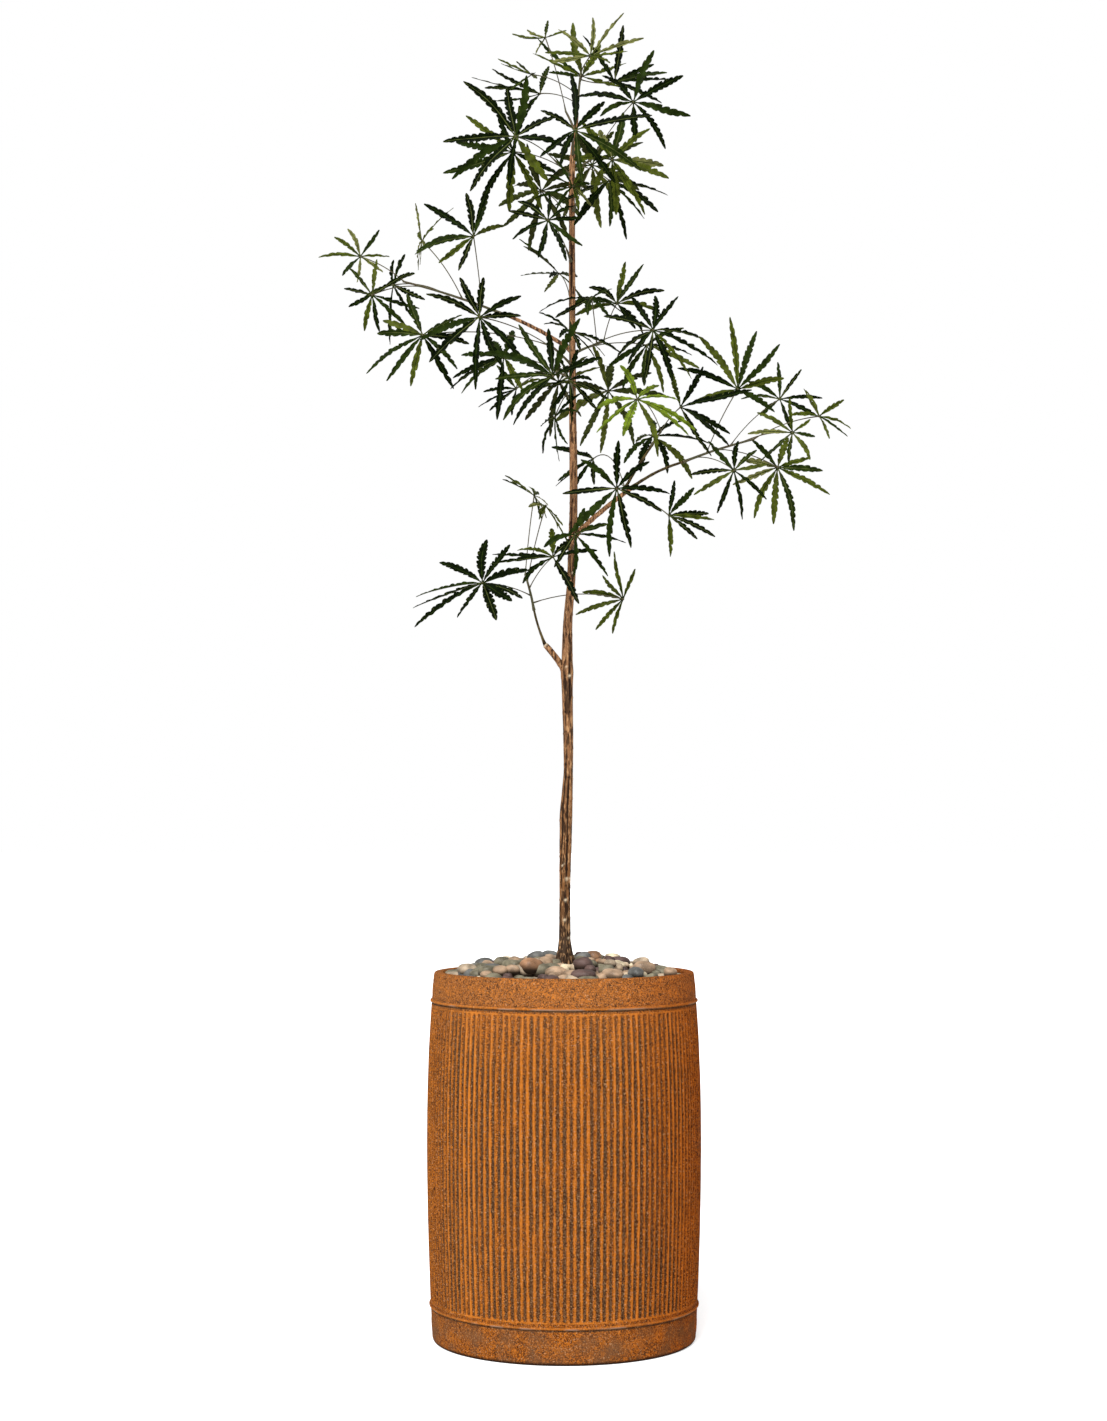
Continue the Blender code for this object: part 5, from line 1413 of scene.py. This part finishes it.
class ARALIA_OT_foliage(Operator):
    """Grow every mass of foliage: stems, stalks and toothed leaflets"""

    bl_idname = "aralia.foliage"
    bl_label = "Foliage"

    def execute(self, context):
        looks, wood = context.scene.aralia_leaves, context.scene.aralia_bark
        stalk = stalk_material("leaf stalk", wood.stalk, wood.shoot)
        materials = []
        for name in GREENS:
            tone = getattr(looks, name)
            under = [0.8 * c + 0.2 * u for c, u in zip(tone, looks.pale)]
            materials.append(leaf_material("leaf " + name, tone, LEAF_ROUGHNESS, 0.02))
            materials.append(leaf_material("leaf underside " + name, under, UNDERSIDE_ROUGHNESS, 0.01))
        for name, tone in (("pale", looks.rib), ("dull", looks.mid)):
            materials.append(leaf_material("leaf rib " + name, tone, RIB_ROUGHNESS, 0.02))
        for number, (mass, leaves) in enumerate(zip(MASSES, grow_tree())):
            rng = random.Random(DETAIL_SEED + number)
            twigs, blades = self.grow(mass, leaves, looks.tooth_pitch, rng)
            label = mass.name.replace("foliage_", "")
            finish_piece("twigs_" + label, twigs, [stalk], (mass.name,), 50)
            finish_piece("leaves_" + label, blades, materials, (mass.name,), 50)
        return {"FINISHED"}

    def grow(self, mass, leaves, pitch, rng):
        """A mass's stem and stalks, and its leaflets, each dealt a green and a rib."""
        twigs, blades = Build(), Build()
        foot, tip = STEM_RADII
        stem = [stem_point(mass, s) for s in shares(FINE_STEPS)]
        swollen = [1.0 + 0.35 * fall_off(s * mass.length, STALK_FOOT) for s in shares(FINE_STEPS)]
        radii = [(foot + (tip - foot) * s) * w for s, w in zip(shares(FINE_STEPS), swollen)]
        add_tube(twigs, stem, radii, 8, 0.12)
        for index, bow, hub, normal, width, placed in leaves:
            leaf = mass.leaves[index]
            swollen = [0.9 * fall_off(s * leaf.reach, STALK_FOOT) + 0.35 * s**6 for s in shares(FINE_STEPS)]
            radii = [FINE_STALK_RADIUS * (1.0 + w) for w in swollen]
            add_tube(twigs, stalk_path(mass, index, FINE_STEPS, bow), radii, FINE_SIDES)
            add_knot(twigs, hub, HUB_KNOT)
            for leaflet in placed:
                # Each leaflet's green is partly painted light: lighter leaflets among dark ones stand in
                # for leaflets catching the light
                green = 2 * GREENS.index(rng.choice(GREEN_MIX[leaf.green]))
                rib = 2 * len(GREENS) + (0 if rng.random() < PALE_RIB_SHARE else 1)
                add_fine_leaflet(blades, hub, normal, leaflet, width, pitch, rng, (green, green + 1, rib))
        return twigs, blades


class ARALIA_OT_stage(Operator):
    """Set up the pale floor, the soft light and the camera"""

    bl_idname = "aralia.stage"
    bl_label = "Stage"

    def execute(self, context):
        looks = context.scene.aralia_stage
        self.floor(looks)
        self.lights(looks)
        self.camera()
        return {"FINISHED"}

    def floor(self, looks):
        bm = bmesh.new()
        bmesh.ops.create_grid(bm, x_segments=8, y_segments=8, size=FLOOR_HALF_SIZE)
        mesh = bpy.data.meshes.new("floor")
        bm.to_mesh(mesh)
        bm.free()
        pale, paler = ([tone] * 3 for tone in FLOOR_TONES)
        paint = Finish("pale floor", 0.9, 0.0, pale)
        paint.lay(paint.grain(1.5, 2.0, 0.3, 0.7), paler)
        seen = place_node(paint.tree, "LightPath", {}).outputs["Is Camera Ray"]
        glow = paint.ramp(seen, 0.0, 1.0, 0.0, looks.floor_glow)
        paint.tree.links.new(paint.colour, paint.sockets["Base Color"])
        paint.tree.links.new(glow, paint.sockets["Emission Strength"])
        paint.sockets["Emission Color"].default_value = WHITE
        mesh.materials.append(paint.material)
        floor = put_in_scene("floor", mesh)

    def lights(self, looks):
        world = bpy.data.worlds.new("studio")
        world.use_nodes = True
        tree = world.node_tree
        background = tree.nodes["Background"].inputs
        background["Color"].default_value = WHITE
        seen = place_node(tree, "LightPath", {}).outputs["Is Camera Ray"]
        strength = place_node(tree, "MapRange", {"Value": seen, "To Min": looks.surround, "To Max": 1.0})
        tree.links.new(strength.outputs["Result"], background["Strength"])
        bpy.context.scene.world = world
        bpy.context.scene.view_settings.view_transform = "Standard"
        for name, bearing, rise, angle in LIGHTS:
            light = bpy.data.lights.new(name + " light", "SUN")
            light.energy = getattr(looks, name)
            light.angle = math.radians(angle)
            item = put_in_scene(name + " light", light)
            item.rotation_mode = "QUATERNION"
            item.rotation_quaternion = (-direction(bearing, rise)).to_track_quat("-Z", "Y")

    def camera(self):
        data = bpy.data.cameras.new("camera")
        data.lens = CAMERA_LENS
        data.sensor_width = SENSOR_WIDTH
        data.shift_y = CAMERA_SHIFT
        data.clip_end = FAR_LIMIT
        camera = put_in_scene("camera", data)
        camera.location = CAMERA_PLACE
        camera.rotation_euler = (math.radians(90.0), 0.0, 0.0)
        bpy.context.scene.camera = camera


class ARALIA_PT_panel(Panel):
    """Lists the tree's operators"""

    bl_idname = "ARALIA_PT_panel"
    bl_label = "False Aralia"
    bl_space_type = "VIEW_3D"
    bl_region_type = "UI"
    bl_category = "Aralia"

    def draw(self, context):
        for operator in OPERATORS:
            self.layout.operator(operator.bl_idname)


LOOKS = (
    ("aralia_planter", PlanterLooks),
    ("aralia_pebbles", PebbleLooks),
    ("aralia_bark", BarkLooks),
    ("aralia_leaves", LeafLooks),
    ("aralia_stage", StageLooks),
)
OPERATORS = (
    ARALIA_OT_planter,
    ARALIA_OT_pebbles,
    ARALIA_OT_wood,
    ARALIA_OT_foliage,
    ARALIA_OT_stage,
)


def register():
    for label, looks in LOOKS:
        bpy.utils.register_class(looks)
        setattr(bpy.types.Scene, label, PointerProperty(type=looks))
    for item in (*OPERATORS, ARALIA_PT_panel):
        bpy.utils.register_class(item)


def unregister():
    for item in reversed((*OPERATORS, ARALIA_PT_panel)):
        bpy.utils.unregister_class(item)
    for label, looks in reversed(LOOKS):
        delattr(bpy.types.Scene, label)
        bpy.utils.unregister_class(looks)


def main():
    register()
    bpy.ops.aralia.planter()
    bpy.ops.aralia.pebbles()
    bpy.ops.aralia.wood()
    bpy.ops.aralia.foliage()
    bpy.ops.aralia.stage()


if __name__ == "__main__":
    main()
